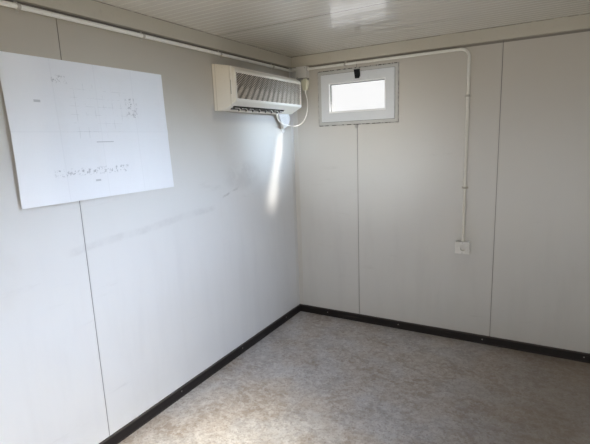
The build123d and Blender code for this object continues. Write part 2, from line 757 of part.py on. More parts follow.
def clip(plane):
    """Saddle over a conduit, on a plane with z along the conduit and y out from the wall."""
    inner = CONDUIT_RADIUS + CLIP_CLEARANCE
    outer = inner + CLIP_STRAP
    out = CONDUIT_OUT
    arch = Pos(0, out) * Circle(outer) + Pos(0, out / 2) * Rectangle(2 * outer, out)
    hollow = Pos(0, out) * Circle(inner) + Pos(0, out / 2) * Rectangle(2 * inner, out)
    ears = Pos(0, CLIP_STRAP / 2) * Rectangle(2 * (outer + CLIP_EAR), CLIP_STRAP)
    section = arch + ears - hollow
    return extrude(plane * section, amount=CLIP_WIDTH)


def conduit_clips():
    clips = []
    for i in range(int((Y_END - Y_NEAR) / CLIP_PITCH)):
        y = -(i + 0.5) * CLIP_PITCH
        plane = Plane(origin=room(0, y, CONDUIT_HEIGHT), x_dir=(0, 0, 1), z_dir=(0, 1, 0))
        clips.append(clip(plane))
    first = JUNCTION_LEFT + JUNCTION_SIZE
    for i in range(int((CONDUIT_DROP - first) / CLIP_PITCH)):
        x = first + (i + 0.5) * CLIP_PITCH
        plane = Plane(origin=room(x, 0, CONDUIT_HEIGHT), x_dir=(0, 0, 1), z_dir=(1, 0, 0))
        clips.append(clip(plane))
    height = CONDUIT_HEIGHT - SOCKET_BOTTOM - SOCKET_HEIGHT
    for i in range(int(height / CLIP_PITCH)):
        z = CONDUIT_HEIGHT - (i + 0.5) * CLIP_PITCH
        plane = Plane(origin=room(CONDUIT_DROP, 0, z), x_dir=(-1, 0, 0), z_dir=(0, 0, 1))
        clips.append(clip(plane))
    return Compound(clips)


def rounded_box(left, bottom, width, height, near, far, radius):
    """Box on the end wall with rounded upright and level edges, between two distances from the wall."""
    box = slab(room(left, -far, bottom), room(left + width, -near, bottom + height))
    return fillet(box.edges().filter_by(Axis.Y), radius)


def surface_box(left, bottom, width, height, depth, radius):
    """Surface box whose lid is parted from it by a fine groove."""
    seam = BOX_SEAM_DEPTH
    body = rounded_box(left, bottom, width, height, 0, depth - BOX_LID - BOX_SEAM, radius)
    neck = rounded_box(left + seam, bottom + seam, width - 2 * seam, height - 2 * seam,
                       depth - BOX_LID - BOX_SEAM, depth - BOX_LID, radius - seam)
    lid = rounded_box(left, bottom, width, height, depth - BOX_LID, depth, radius)
    lid = fillet(lid.faces().sort_by(Axis.Y)[0].edges(), radius / 2)
    return body + neck + lid


def junction_box():
    return surface_box(JUNCTION_LEFT, JUNCTION_BOTTOM, JUNCTION_SIZE, JUNCTION_SIZE,
                       JUNCTION_DEPTH, JUNCTION_ROUND)


def cooler_plug():
    """Plug under the junction box, waisted for the fingers, with its neck in the box's underside."""
    x = PLUG_LEFT + PLUG_WIDTH / 2
    y = -PLUG_STAND_OFF - PLUG_DEPTH / 2
    waist = PLUG_BOTTOM + PLUG_HEIGHT * PLUG_GRIP
    sections = []
    for z, share in ((PLUG_BOTTOM, PLUG_GRIP), (waist, 1), (PLUG_BOTTOM + PLUG_HEIGHT, 1)):
        plane = Plane(origin=room(x, y, z))
        sections.append(plane * RectangleRounded(PLUG_WIDTH * share, PLUG_DEPTH * share, PLUG_ROUND))
    body = loft(sections[:2]) + loft(sections[1:])
    half = PLUG_NECK / 2
    reach = min(half, JUNCTION_LEFT + JUNCTION_SIZE - JUNCTION_ROUND - x)
    neck = slab(room(x - half, y - half / 2, PLUG_BOTTOM + PLUG_HEIGHT),
                room(x + reach, y + half / 2, JUNCTION_BOTTOM))
    return body + neck


def socket_disc(radius, near, far):
    """Round solid on the socket's axis, between two distances from the wall."""
    plane = Plane(origin=room(SOCKET_X, -near, SOCKET_Z), x_dir=(1, 0, 0), z_dir=(0, -1, 0))
    return extrude(plane * Circle(radius), amount=far - near)


def socket_box():
    """Surface box with a round hole for the socket's body."""
    box = surface_box(SOCKET_LEFT, SOCKET_BOTTOM, SOCKET_WIDTH, SOCKET_HEIGHT, SOCKET_DEPTH, SOCKET_ROUND)
    hole = SOCKET_BODY_RADIUS + SOCKET_BODY_CLEARANCE
    return box - socket_disc(hole, SOCKET_DEPTH - SOCKET_BODY_DEPTH, SOCKET_DEPTH + SOCKET_PLATE_DEPTH)


def socket_insert():
    """Socket with its face plate, its round well and two contact holes."""
    face = SOCKET_DEPTH + SOCKET_PLATE_DEPTH
    half = SOCKET_PLATE / 2
    plate = rounded_box(SOCKET_X - half, SOCKET_Z - half, SOCKET_PLATE, SOCKET_PLATE,
                        SOCKET_DEPTH, face, SOCKET_ROUND)
    insert = plate + socket_disc(SOCKET_BODY_RADIUS, SOCKET_DEPTH - SOCKET_BODY_DEPTH, SOCKET_DEPTH)
    insert -= socket_disc(SOCKET_WELL_RADIUS, face - SOCKET_WELL_DEPTH, face + SOCKET_PLATE_DEPTH)
    for x in (-PIN_PITCH / 2, PIN_PITCH / 2):
        hole = socket_disc(PIN_RADIUS, face - SOCKET_WELL_DEPTH - PIN_DEPTH, face - SOCKET_WELL_DEPTH)
        insert -= Pos(x, 0, 0) * hole
    return insert


def plan_sheet():
    """Loose sheet and the air behind it: close to the wall at its top, lifted along its foot."""
    near, far = -SHEET_FROM_END_WALL - SHEET_WIDTH, -SHEET_FROM_END_WALL
    back = SHEET_STAND_OFF
    ends = []
    for z, near_lift, far_lift in ((SHEET_TOP - SHEET_HEIGHT, SHEET_LIFT, SHEET_LIFT_FAR),
                                   (SHEET_TOP, SHEET_SPACE, SHEET_SPACE)):
        corners = [room(back, far, z), room(back + far_lift, far, z),
                   room(back + near_lift, near, z), room(back, near, z)]
        ends.append(make_face(Polyline(*corners, close=True)))
    return loft(ends, ruled=True)


BASE_FLANGE = FRAME_OUT + BASE_LEDGE
ROOF_FLANGE = FRAME_OUT
for side in ("far", "near", "left", "right"):
    save(f"base_rail_{side}", rail(side, 0, BASE_HEIGHT, BASE_FLANGE))
    save(f"roof_rail_{side}", rail(side, WALL_TOP, ROOF_RAIL_HEIGHT, ROOF_FLANGE))
for x_sign, x_name in ((-1, "left"), (1, "right")):
    for y_sign, y_name in ((-1, "near"), (1, "far")):
        save(f"corner_post_{y_name}_{x_name}", corner_post(x_sign, y_sign))
save("floor_joists", floor_joists(BASE_FLANGE))
save("floor_board", floor_layer(BASE_HEIGHT, FLOOR_BOARD))
save("floor_vinyl", floor_layer(BASE_HEIGHT + FLOOR_BOARD, VINYL))
for i in range(BAYS):
    save(f"side_wall_panel_{i + 1}", side_wall_panel(i))
    save(f"roof_panel_{i + 1}", roof_panel(i))
for i, panel in enumerate(end_wall_panels()):
    save(f"end_wall_panel_{i + 1}", panel)
for wall in ("side", "end"):
    save(f"cornice_{wall}", lining(cornice_section(), CORNICE_BOTTOM, wall, WALL))
    save(f"skirting_{wall}", lining(skirting_section(), 0, wall))
save("corner_trim", corner_trim())
save("window_frame", window_frame())
save("window_sash", window_sash())
save("window_glass", window_glass())
save("window_handle", window_handle())
save("cooler_back_case", cooler_back_case())
save("cooler_housing", cooler_housing())
save("cooler_front", cooler_front())
save("cooler_grille", cooler_grille())
save("cooler_louvres", cooler_louvres())
save("cooler_pipe_bundle", pipe_bundle())
save("cooler_power_cord", power_cord())
save("cooler_plug", cooler_plug())
save("junction_box", junction_box())
save("conduit_side", conduit_side())
save("conduit_end", conduit_end())
save("conduit_clips", conduit_clips())
save("socket_box", socket_box())
save("socket_insert", socket_insert())
save("plan_sheet", plan_sheet())
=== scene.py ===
# %% [markdown]
# # A corner module of a portable site cabin
# The cabin is a steel frame with sandwich panels between its members. We start from its solid model,
# which already has every panel, rail and fitting at its real size. The model is a fixed frame: we keep
# its pieces where they are, give each one its real finish, and add what is too soft or too fine for it.

# %% Load the solid model
from math import cos, pi, radians, sin
from random import Random

import bpy
from mathutils import Matrix, Vector


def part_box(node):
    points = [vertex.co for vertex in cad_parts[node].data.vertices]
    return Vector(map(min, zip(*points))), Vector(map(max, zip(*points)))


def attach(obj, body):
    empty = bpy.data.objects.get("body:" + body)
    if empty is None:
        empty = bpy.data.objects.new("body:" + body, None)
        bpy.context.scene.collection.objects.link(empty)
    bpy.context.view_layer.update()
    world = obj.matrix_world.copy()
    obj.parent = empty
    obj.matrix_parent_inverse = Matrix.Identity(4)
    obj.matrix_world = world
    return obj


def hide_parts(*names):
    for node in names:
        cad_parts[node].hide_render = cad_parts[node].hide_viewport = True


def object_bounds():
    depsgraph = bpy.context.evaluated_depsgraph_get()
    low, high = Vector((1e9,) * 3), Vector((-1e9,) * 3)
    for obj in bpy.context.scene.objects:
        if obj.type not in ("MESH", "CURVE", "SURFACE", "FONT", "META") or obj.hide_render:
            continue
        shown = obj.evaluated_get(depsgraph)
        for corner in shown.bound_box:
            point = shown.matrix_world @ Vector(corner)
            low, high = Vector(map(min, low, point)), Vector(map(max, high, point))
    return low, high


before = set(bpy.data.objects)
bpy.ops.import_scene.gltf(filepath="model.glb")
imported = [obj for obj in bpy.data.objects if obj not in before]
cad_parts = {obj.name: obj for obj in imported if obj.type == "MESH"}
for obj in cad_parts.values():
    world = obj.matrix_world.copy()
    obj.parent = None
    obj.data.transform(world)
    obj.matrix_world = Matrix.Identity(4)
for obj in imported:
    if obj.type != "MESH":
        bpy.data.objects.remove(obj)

solid_box = [[float(v) for v in corner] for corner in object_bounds()]
print("pieces in the solid model:", len(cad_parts), "box:", solid_box)

# %% [markdown]
# ## The room's corner
# Most places in a room are easiest to give from one corner: so far along a wall, so high above the
# floor. Here that corner is where the long wall, the end wall and the floor meet, in metres.

# %% Measure the room from its corner
vinyl_low, vinyl_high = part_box("floor_vinyl")
CORNER = Vector((vinyl_low.x, vinyl_high.y, vinyl_high.z))


def room(x, y, z):
    """A point given from the room's corner, at floor level: x off the long wall, y off the end wall."""
    return CORNER + Vector((x, y, z))


print("room corner:", tuple(round(v, 4) for v in CORNER))

# %% [markdown]
# ## The camera
# A phone's wide lens at head height, just outside the open end and turned towards the far corner.
# Its tilt is built from three unit vectors, right, up and forward, because a small roll to one side is
# easier to control that way than with three angles.

# %% Set the camera
EYE = room(1.8467, -3.2316, 1.5036)
YAW, PITCH, ROLL = radians(29.998), radians(10.497), radians(-2.186)
LENS = 26.6

forward = Vector((-sin(YAW) * cos(PITCH), cos(YAW) * cos(PITCH), -sin(PITCH)))
level = Vector((cos(YAW), sin(YAW), 0))
upright = level.cross(forward)
right = level * cos(ROLL) + upright * sin(ROLL)
up = upright * cos(ROLL) - level * sin(ROLL)
turn = Matrix((right, up, -forward)).transposed()

bpy.ops.object.camera_add(location=EYE, rotation=turn.to_euler())
camera = bpy.context.object
camera.name = "viewpoint"
camera.data.lens = LENS
camera.data.sensor_width = 36
camera.data.clip_start = 0.05
bpy.context.scene.camera = camera
print("camera at", tuple(round(v, 3) for v in camera.location))

# %% [markdown]
# ## Working by hand, in code
# Modelling operators act on whatever is selected, as they do under the mouse. So each step first clears
# the selection, and picks faces, edges or points by where they are.

# %% Helpers for selecting and shaping
def clear_selection():
    if bpy.context.mode != "OBJECT":
        bpy.ops.object.mode_set(mode="OBJECT")
    bpy.ops.object.select_all(action="DESELECT")


def only(piece):
    """Makes one piece the selected and active one."""
    clear_selection()
    piece.select_set(True)
    bpy.context.view_layer.objects.active = piece


def settle(piece, name, size=None):
    """Names a new primitive, sizes it, and puts its place, turn and size into its mesh."""
    only(piece)
    piece.name = name
    if size is not None:
        piece.scale = size
    piece.data.name = name
    bpy.ops.object.transform_apply(location=True, rotation=True, scale=True)
    return piece


def new_box(name, low, high):
    """A box between two corners, as a start for shaping."""
    clear_selection()
    low, high = Vector(low), Vector(high)
    bpy.ops.mesh.primitive_cube_add(size=1, location=(low + high) / 2)
    return settle(bpy.context.object, name, high - low)


def pick(piece, kind, test):
    """Enters edit mode with only those points, edges or faces selected whose middle passes a test."""
    only(piece)
    mesh = piece.data
    for vertex in mesh.vertices:
        vertex.select = kind == "VERT" and test(vertex.co)
    for edge in mesh.edges:
        a, b = (mesh.vertices[i].co for i in edge.vertices)
        edge.select = kind == "EDGE" and test((a + b) / 2, (b - a).normalized())
    for face in mesh.polygons:
        face.select = kind == "FACE" and test(face.center, face.normal)
    bpy.ops.object.mode_set(mode="EDIT")
    bpy.ops.mesh.select_mode(type=kind)


def leave():
    bpy.ops.object.mode_set(mode="OBJECT")


def add_modifier(piece, kind, **settings):
    """Adds a modifier, sets it up and applies it to the mesh."""
    only(piece)
    modifier = piece.modifiers.new(kind.lower(), kind)
    for name, value in settings.items():
        setattr(modifier, name, value)
    bpy.ops.object.modifier_apply(modifier=modifier.name)


def copies(piece, places):
    """Copies a finished piece to further places and joins all of them into one mesh."""
    made = []
    for place in places:
        only(piece)
        bpy.ops.object.duplicate(linked=False)
        copy = bpy.context.object
        copy.location = place
        made.append(copy)
    clear_selection()
    for copy in made:
        copy.select_set(True)
    bpy.data.objects.remove(piece)
    bpy.context.view_layer.objects.active = made[0]
    bpy.ops.object.join()
    bpy.ops.object.transform_apply(location=True, rotation=True, scale=True)
    return bpy.context.object


# %% [markdown]
# ## Shader maths in Python
# A pattern such as a scuff is a sum: some noise, times a mask, plus a little more noise. Built from
# nodes one by one that is hard to read, so a small class lets a socket take part in a Python sum, and
# each plus or times sign adds its Math node.

# %% A socket that can be added and multiplied
class Wire:
    """An output socket in a material. Sums of wires and numbers make Math nodes."""

    def __init__(self, socket):
        self.socket = socket

    def node(self, kind, settings, sockets, out=0):
        """Adds a node: its own settings first, then the numbers or wires for its sockets."""
        tree = self.socket.id_data
        added = tree.nodes.new(kind)
        for name, value in settings.items():
            setattr(added, name, value)
        for name, value in sockets.items():
            if isinstance(value, Wire):
                tree.links.new(value.socket, added.inputs[name])
            else:
                added.inputs[name].default_value = value
        return Wire(added.outputs[out])

    def math(self, operation, *others):
        """A Math node that takes this wire first, and then the other values."""
        return self.node("ShaderNodeMath", {"operation": operation}, dict(enumerate((self, *others))))

    def __add__(self, other):
        return self.math("ADD", other)

    def __sub__(self, other):
        return self.math("SUBTRACT", other)

    def __rsub__(self, other):
        return self.math("MULTIPLY_ADD", -1.0, other)

    def __mul__(self, other):
        return self.math("MULTIPLY", other)

    __radd__ = __add__
    __rmul__ = __mul__

    def above(self, low, high):
        """A mask that rises smoothly from 0 at the first value to 1 at the second."""
        return self.node("ShaderNodeMapRange", {"interpolation_type": "SMOOTHSTEP"},
                         {"Value": self, "From Min": low, "From Max": high})

    def within(self, low, high, edge):
        """A mask that is 1 between two values and fades out over an edge on each side."""
        return self.above(low - edge, low) * self.above(high + edge, high)

    def ridges(self, pitch):
        """Even round ridges, from 0 to 1, one for each pitch along this wire."""
        return (self * (2 * pi / pitch)).math("SINE") * 0.5 + 0.5

    def axes(self):
        """The X, Y and Z of a vector, as three wires."""
        first = self.node("ShaderNodeSeparateXYZ", {}, {"Vector": self})
        return [Wire(socket) for socket in first.socket.node.outputs]

    def placed(self, move=(0, 0, 0), turn=(0, 0, 0), scale=(1, 1, 1)):
        """The same point after a move, a turn and a change of scale."""
        return self.node("ShaderNodeMapping", {},
                         {"Vector": self, "Location": move, "Rotation": turn, "Scale": scale})

    def noise(self, scale, detail=2.0, rough=0.5):
        return self.node("ShaderNodeTexNoise", {},
                         {"Vector": self, "Scale": scale, "Detail": detail, "Roughness": rough})

    def cells(self, scale):
        """Three random values for each cell of a scattered pattern."""
        return self.node("ShaderNodeTexVoronoi", {}, {"Vector": self, "Scale": scale}, "Color").axes()

    def blend(self, first, second):
        """Mixes two colours, with this wire as the share of the second."""
        first = first if isinstance(first, Wire) else (*first, 1)
        second = second if isinstance(second, Wire) else (*second, 1)
        return self.node("ShaderNodeMix", {"data_type": "RGBA"}, {0: self, 6: first, 7: second}, 2)

    def bump(self, depth, strength=1.0):
        """Turns a height between 0 and 1 into a surface of that depth, in metres."""
        return self.node("ShaderNodeBump", {},
                         {"Height": self, "Distance": depth, "Strength": strength})


class Finish:
    """A material: plain numbers for what is the same all over, and wires for what changes."""

    def __init__(self, name, coordinates="Object", **plain):
        self.material = bpy.data.materials.new(name)
        self.material.use_nodes = True
        self.tree = self.material.node_tree
        self.shader = self.tree.nodes["Principled BSDF"]
        for socket, value in plain.items():
            self.shader.inputs[socket.replace("_", " ")].default_value = value
        source = self.tree.nodes.new("ShaderNodeTexCoord")
        self.point = Wire(source.outputs[coordinates])

    def set(self, **wires):
        for socket, wire in wires.items():
            self.tree.links.new(wire.socket, self.shader.inputs[socket.replace("_", " ")])
        return self


def stained(tint, *layers):
    """Lays colours over a tint one after another, each through its own mask."""
    for mask, colour in layers:
        tint = mask.blend(tint, colour)
    return tint


def dress(finish, *names):
    """Gives a finish to pieces of the solid model."""
    for name in names:
        for material_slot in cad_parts[name].material_slots:
            material_slot.material = finish.material
    print(finish.material.name, "on", ", ".join(names))


def seat(piece, finish, slot):
    """Gives a new piece its finish and its place on the cabin."""
    piece.data.materials.clear()
    piece.data.materials.append(finish.material)
    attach(piece, "root")
    print(piece.name, "seated, slot", slot)


print("helpers ready")

# %% [markdown]
# ## The power cord
# The cooling unit's lead leaves its underside, hangs in a loop beside the wrapped pipes and rises to its
# plug. A cord of this kind bends in wide, even curves, so it is one smooth spline whose control points
# are the bends of its route.

# %% Lay the cord
cooler_low, cooler_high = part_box("cooler_housing")
UNDERSIDE = cooler_low.z
CORD_DIAMETER = 0.008
CORD_ROUTE = [
    (0.076, -0.372, 0.000), (0.076, -0.372, -0.022), (0.076, -0.361, -0.046), (0.078, -0.336, -0.065),
    (0.083, -0.296, -0.078), (0.092, -0.25, -0.087), (0.107, -0.205, -0.093), (0.128, -0.16, -0.092),
    (0.152, -0.118, -0.07), (0.168, -0.088, -0.026), (0.173, -0.066, 0.034), (0.168, -0.05, 0.094),
    (0.157, -0.042, 0.138), (0.144, -0.035, 0.164), (0.144, -0.035, 0.188),
]


def cord_point(point):
    x, y, above = point
    place = room(x, y, 0)
    return Vector((place.x, place.y, UNDERSIDE + above))


cord_data = bpy.data.curves.new("power_cord", "CURVE")
cord_data.dimensions = "3D"
cord_data.bevel_depth = CORD_DIAMETER / 2
cord_data.bevel_resolution = 5
cord_data.use_fill_caps = True
line = cord_data.splines.new("NURBS")
line.points.add(len(CORD_ROUTE) - 1)
for point, place in zip(line.points, CORD_ROUTE):
    point.co = (*cord_point(place), 1)
line.order_u = 3
line.use_endpoint_u = True
line.resolution_u = 12
power_cord = bpy.data.objects.new("power_cord", cord_data)
bpy.context.scene.collection.objects.link(power_cord)
print("cord control points:", len(CORD_ROUTE))

# %% [markdown]
# A lead is moulded to its fittings by short ribbed sleeves that keep it from kinking. One sleeve is a
# tapered plug: we start from a blunt cone, cut it into rings, and draw every second ring in, which
# leaves the ribs.

# %% Sleeves at the ends of the cord
SLEEVE_LENGTH, SLEEVE_RINGS = 0.026, 10
WIDE, NARROW = 0.0075, 0.0048


def new_sleeve(name, start):
    """A ribbed, tapered sleeve that hangs down from a point."""
    end = start - Vector((0, 0, SLEEVE_LENGTH))
    along = end - start
    clear_selection()
    bpy.ops.mesh.primitive_cone_add(vertices=24, radius1=WIDE, radius2=NARROW, depth=along.length,
                                    location=(start + end) / 2,
                                    rotation=along.to_track_quat("Z", "Y").to_euler())
    sleeve = bpy.context.object
    sleeve.name = name
    for step in range(1, SLEEVE_RINGS):
        pick(sleeve, "FACE", lambda centre, normal: True)
        bpy.ops.mesh.bisect(plane_co=start.lerp(end, step / SLEEVE_RINGS), plane_no=along)
        leave()
    for step in range(2, SLEEVE_RINGS - 1, 2):
        share = step / SLEEVE_RINGS
        height = (share - 0.5) * along.length
        pick(sleeve, "VERT", lambda point: abs(point.z - height) < 1e-5)
        bpy.ops.transform.resize(value=(0.86, 0.86, 0.86), center_override=start.lerp(end, share))
        leave()
    settle(sleeve, name)
    bpy.ops.object.shade_smooth_by_angle(angle=radians(50))
    return sleeve


sleeve_cooler = new_sleeve("cord_sleeve_cooler", cord_point(CORD_ROUTE[0]))
sleeve_plug = new_sleeve("cord_sleeve_plug", cord_point(CORD_ROUTE[-1]))
print("sleeves:", [tuple(round(v, 4) for v in s.dimensions) for s in (sleeve_cooler, sleeve_plug)])

# %% [markdown]
# ## Coated steel on walls and ceiling
# The panels' skins are thin steel with a baked coat. What makes such a wall real is faint: a soft
# unevenness that bends reflections, dust that gathers low and in the joints, a few rubbed marks, and
# dirt that the rain drags down on the outside. All of it follows the point on the panel, in metres.

# %% Where the panels meet
JOINTS = {"end wall": (0.568, 1.568), "side wall": (-2.0,), "roof": (-0.945, -1.945)}
JOINT_HALF = 0.0013


def seams(wire, origin, joints, half=JOINT_HALF, edge=0.0012):
    """A mask of thin lines along the joints, by their distances from the room's corner."""
    total = 0.0
    for joint in joints:
        total = total + wire.within(origin + joint - half, origin + joint + half, edge)
    return total


print("joints:", JOINTS)

# %% [markdown]
# Some marks on a wall have a place: the long level scrape on the side wall, a short scuff above it, the
# dirty patch round that, and the smudge at the joint under the window. Each one is a small band or spot
# in the wall's own coordinates, broken up by noise.

# %% Marks that have a place
def scrape(along, height, start, end, thickness, ragged):
    """A band that follows a straight line on the wall between two places, with ragged edges."""
    (a, low), (b, high) = start, end
    slope = (high - low) / (b - a)
    away = height - low - (along - a) * slope + (ragged - 0.5) * (2.5 * thickness)
    return away.within(-thickness / 2, thickness / 2, thickness) * along.within(a, b, 0.05)


def blotch(along, height, middle, size):
    """A soft round patch."""
    a = (along - middle[0]) * (1 / size[0])
    b = (height - middle[1]) * (1 / size[1])
    return (a * a + b * b).above(1.0, 0.1)


# %% What varies over the walls
wall = Finish("coated_wall")
x, y, z = wall.point.axes()
depth, across, height = x - CORNER.x, y - CORNER.y, z - CORNER.z
outside_end = across.above(0.04, 0.048)
outside_side = depth.above(-0.04, -0.048)
outside = outside_end.math("MAXIMUM", outside_side)
inside = 1 - outside
on_side = depth.above(0.006, 0.002) * inside
cloud = wall.point.noise(1.3, 4.0, 0.6)
cloudy = wall.point.noise(5.0, 4.0, 0.65)
ragged = wall.point.noise(22.0, 4.0, 0.7)
fine = wall.point.noise(160.0, 2.0, 0.6)
patchy = 0.35 + 0.9 * wall.point.placed(move=(2, 5, 1)).noise(8.0, 4.0, 0.7).above(0.38, 0.68)
rubbed = wall.point.placed(turn=(0.9, 0.5, 0.2), scale=(3, 3, 16)).noise(1.0, 5.0, 0.65)
rubbed = rubbed.above(0.62, 0.78) * height.within(0.2, 1.4, 0.25)
smudge = wall.point.placed(move=(3.1, 0.4, 1.7)).noise(2.6, 5.0, 0.6).above(0.6, 0.8)
wiped = wall.point.placed(scale=(7, 7, 1.1)).noise(1.0, 4.0, 0.6).above(0.44, 0.76)
wiped = wiped * height.above(1.35, 0.7)
low_dust = height.above(0.42, 0.02) * wall.point.noise(7.0, 4.0, 0.6)
rain = wall.point.placed(scale=(16, 16, 0.5)).noise(1.0, 5.0, 0.65).above(0.46, 0.78) * outside

# %% Its joints and marks
side_joint = seams(y, CORNER.y, JOINTS["side wall"])
end_joints = seams(x, CORNER.x, JOINTS["end wall"])
halo = seams(y, CORNER.y, JOINTS["side wall"], 0.002, 0.012)
halo = halo + seams(x, CORNER.x, JOINTS["end wall"], 0.002, 0.012)
long_scrape = scrape(across, height, (-2.05, 1.045), (-1.1, 1.1), 0.018, cloudy) * patchy
short_scuff = scrape(across, height, (-0.95, 1.165), (-0.82, 1.197), 0.007, ragged)
short_scuff = short_scuff * ragged.above(0.4, 0.6)
patch = blotch(across, height, (-0.74, 1.28), (0.26, 0.12))
patch = patch * wall.point.noise(9.0, 4.0, 0.7).above(0.35, 0.62)
under_window = blotch(depth, height, (0.562, 1.606), (0.02, 0.03))
marks = on_side * (0.13 * long_scrape + 0.36 * short_scuff + 0.16 * patch) + 0.6 * under_window
conduit_top, cover_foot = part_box("conduit_side")[1].z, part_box("cornice_side")[0].z
# A painted shadow line on the walls between the conduit and the covers just above it.
gap_shadow = z.within(conduit_top - 0.002, cover_foot, 0.002) * inside
# A painted shadow of the cooling unit on the long wall, in a band under it.
cooler_shadow = z.within(cooler_low.z - 0.035, cooler_low.z, 0.055) * on_side
cooler_shadow = cooler_shadow * y.within(cooler_low.y, cooler_high.y - 0.03, 0.04)

# %% Its colour, from the broad changes to the thin joints
# The two layers after the first darken and warm the walls towards the ceiling, the long wall more: painted
# shade.
tint = stained(
    cloud.blend((0.67, 0.668, 0.655), (0.715, 0.712, 0.7)),
    (0.9 * inside * height.above(1.05, 2.05), (0.515, 0.471, 0.398)),
    (0.8 * on_side * height.above(1.55, 2.1), (0.42, 0.378, 0.305)),
    (rubbed * 0.22 * inside, (0.42, 0.41, 0.39)),
    (wiped * 0.13, (0.45, 0.44, 0.43)),
    (smudge * 0.12, (0.5, 0.46, 0.4)),
    (low_dust * 0.25, (0.46, 0.42, 0.37)),
    (marks.math("MINIMUM", 1.0), (0.24, 0.22, 0.21)),
    (halo * 0.16 * ragged, (0.3, 0.25, 0.21)),
    (0.75 * gap_shadow, (0.1, 0.08, 0.062)),
    (0.45 * cooler_shadow, (0.3, 0.3, 0.31)),
    (0.62 * side_joint + 0.75 * end_joints, (0.085, 0.075, 0.07)),
    (rain * 0.45, (0.36, 0.35, 0.31)))
ripple = wall.point.noise(4.5, 2.0, 0.5) + 0.02 * fine
gloss = 0.34 + 0.1 * cloud + 0.16 * rubbed + 0.2 * rain
wall.set(Base_Color=tint, Roughness=gloss, Normal=ripple.bump(0.0016, 0.7))
dress(wall, *[f"{place}_wall_panel_{number}" for place in ("side", "end") for number in (1, 2, 3)])

# %% [markdown]
# The joint nearest the corner of the side wall was filled flush and painted over, so hardly a line is
# left of it. The filler is one thin strip in the gap, cut into lengths and pressed in by a hair at
# every other cut, as a knife leaves it.

# %% Filled joint
FILLED_JOINT = -1.0
FILLER_HALF, FILLER_DEEP, FILLER_PROUD = 0.001, 0.0052, 0.0002
FILLER_FOOT, FILLER_TOP = 0.07, 2.095
KNIFE_LENGTHS, PRESSED = 40, 0.0001
filler = new_box("joint_filler", room(-FILLER_DEEP, FILLED_JOINT - FILLER_HALF, FILLER_FOOT),
                 room(FILLER_PROUD, FILLED_JOINT + FILLER_HALF, FILLER_TOP))
pick(filler, "EDGE", lambda middle, along: abs(along.z) > 0.9)
bpy.ops.mesh.subdivide(number_cuts=KNIFE_LENGTHS)
leave()
pick(filler, "VERT", lambda point: point.x > CORNER.x and int(point.z * 20) % 2 == 0)
bpy.ops.transform.translate(value=(-PRESSED, 0, 0))
leave()
seat(filler, wall, "wall_panel")

# %% [markdown]
# The ceiling is the underside of the roof panels: the same coat, rolled with fine ribs across the room,
# a little more yellow and much glossier, because nobody rubs against it. The panels sag a little, and
# that tilts what the coat mirrors, so the sag goes into the bump as a slope. Outside, the same panels
# are dull and carry years of grime between their tall ribs.

# %% Ceiling and roof finish
roof = Finish("coated_roof", IOR=2.2, Coat_Roughness=0.08)
x, y, z = roof.point.axes()
RIB_PITCH = 0.0125
COAT_DEPTH = 0.0002
SAG = 0.05
panel_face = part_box("roof_panel_1")[0].z
above_roof = z.above(panel_face + 0.03, panel_face + 0.05)
below_roof = 1 - above_roof
ribs = y.ridges(RIB_PITCH)
cloud = roof.point.noise(1.1, 4.0, 0.6)
wobble = roof.point.noise(2.0, 2.0, 0.5)
grime = roof.point.placed(scale=(1.2, 5, 5)).noise(1.6, 6.0, 0.7).above(0.4, 0.75) * above_roof
# The ceiling is painted darker near the far corner of the long wall, as shade.
corner_shade = x.above(CORNER.x + 0.45, CORNER.x) * y.above(CORNER.y - 1.3, CORNER.y - 0.45)
tint = stained(
    cloud.blend((0.65, 0.625, 0.57), (0.71, 0.685, 0.63)),
    # A faint dark line along each rib is painted shade.
    (ribs * 0.02, (0.36, 0.34, 0.3)),
    # Darker away from the long wall: painted shade.
    (0.6 * x.above(CORNER.x + 1.1, CORNER.x + 2.2) * below_roof, (0.42, 0.39, 0.335)),
    (0.52 * corner_shade * below_roof, (0.3, 0.262, 0.215)),
    (0.9 * seams(y, CORNER.y, JOINTS["roof"], 0.0022), (0.06, 0.05, 0.042)),
    (grime * 0.6, (0.25, 0.235, 0.2)))
slope = (SAG / COAT_DEPTH) * (y - CORNER.y) * below_roof
roof.set(Base_Color=tint, Roughness=0.08 + 0.05 * cloud + 0.2 * grime + 0.45 * above_roof,
         Coat_Weight=0.8 * below_roof, Normal=(0.05 * ribs + 3.0 * wobble + slope).bump(COAT_DEPTH, 1.0))
dress(roof, *[f"roof_panel_{number}" for number in (1, 2, 3)])

# %% [markdown]
# The covers under the ceiling and the angle in the corner are folded from thinner steel with a similar
# coat. The covers are darker along their upper edge and at their hem: painted shade.

# %% Folded covers and the corner angle
def folded(name, light, dark):
    """The coat on folded steel: uneven, with fine dust."""
    finish = Finish(name)
    cloud = finish.point.noise(2.2, 4.0, 0.6)
    dust = finish.point.noise(40.0, 3.0, 0.6).above(0.55, 0.8)
    tint = (dust * 0.18).blend(cloud.blend(dark, light), tuple(0.6 * v for v in dark))
    finish.set(Roughness=0.36 + 0.12 * cloud, Normal=finish.point.noise(9.0, 3.0, 0.5).bump(0.0008, 0.6))
    return finish, tint


cover, tint = folded("folded_cover", (0.55, 0.51, 0.425), (0.495, 0.455, 0.365))
x, y, z = cover.point.axes()
cover_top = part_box("cornice_side")[1].z
# Painted shade along the covers' upper edge against the ceiling and at their hem.
upper_edge_shade = z.above(cover_top - 0.0035, cover_top - 0.0015)
upper_edge_shade = upper_edge_shade * cover.point.noise(14.0, 4.0, 0.7).above(0.36, 0.5)
hem_shade = z.above(cover_foot + 0.006, cover_foot + 0.002)
tint = (0.8 * upper_edge_shade + 0.35 * hem_shade).blend(tint, (0.07, 0.05, 0.038))
cover.set(Base_Color=tint)
dress(cover, "cornice_side", "cornice_end")

angle, tint = folded("corner_angle", (0.69, 0.68, 0.655), (0.63, 0.615, 0.585))
dress(angle.set(Base_Color=tint), "corner_trim")

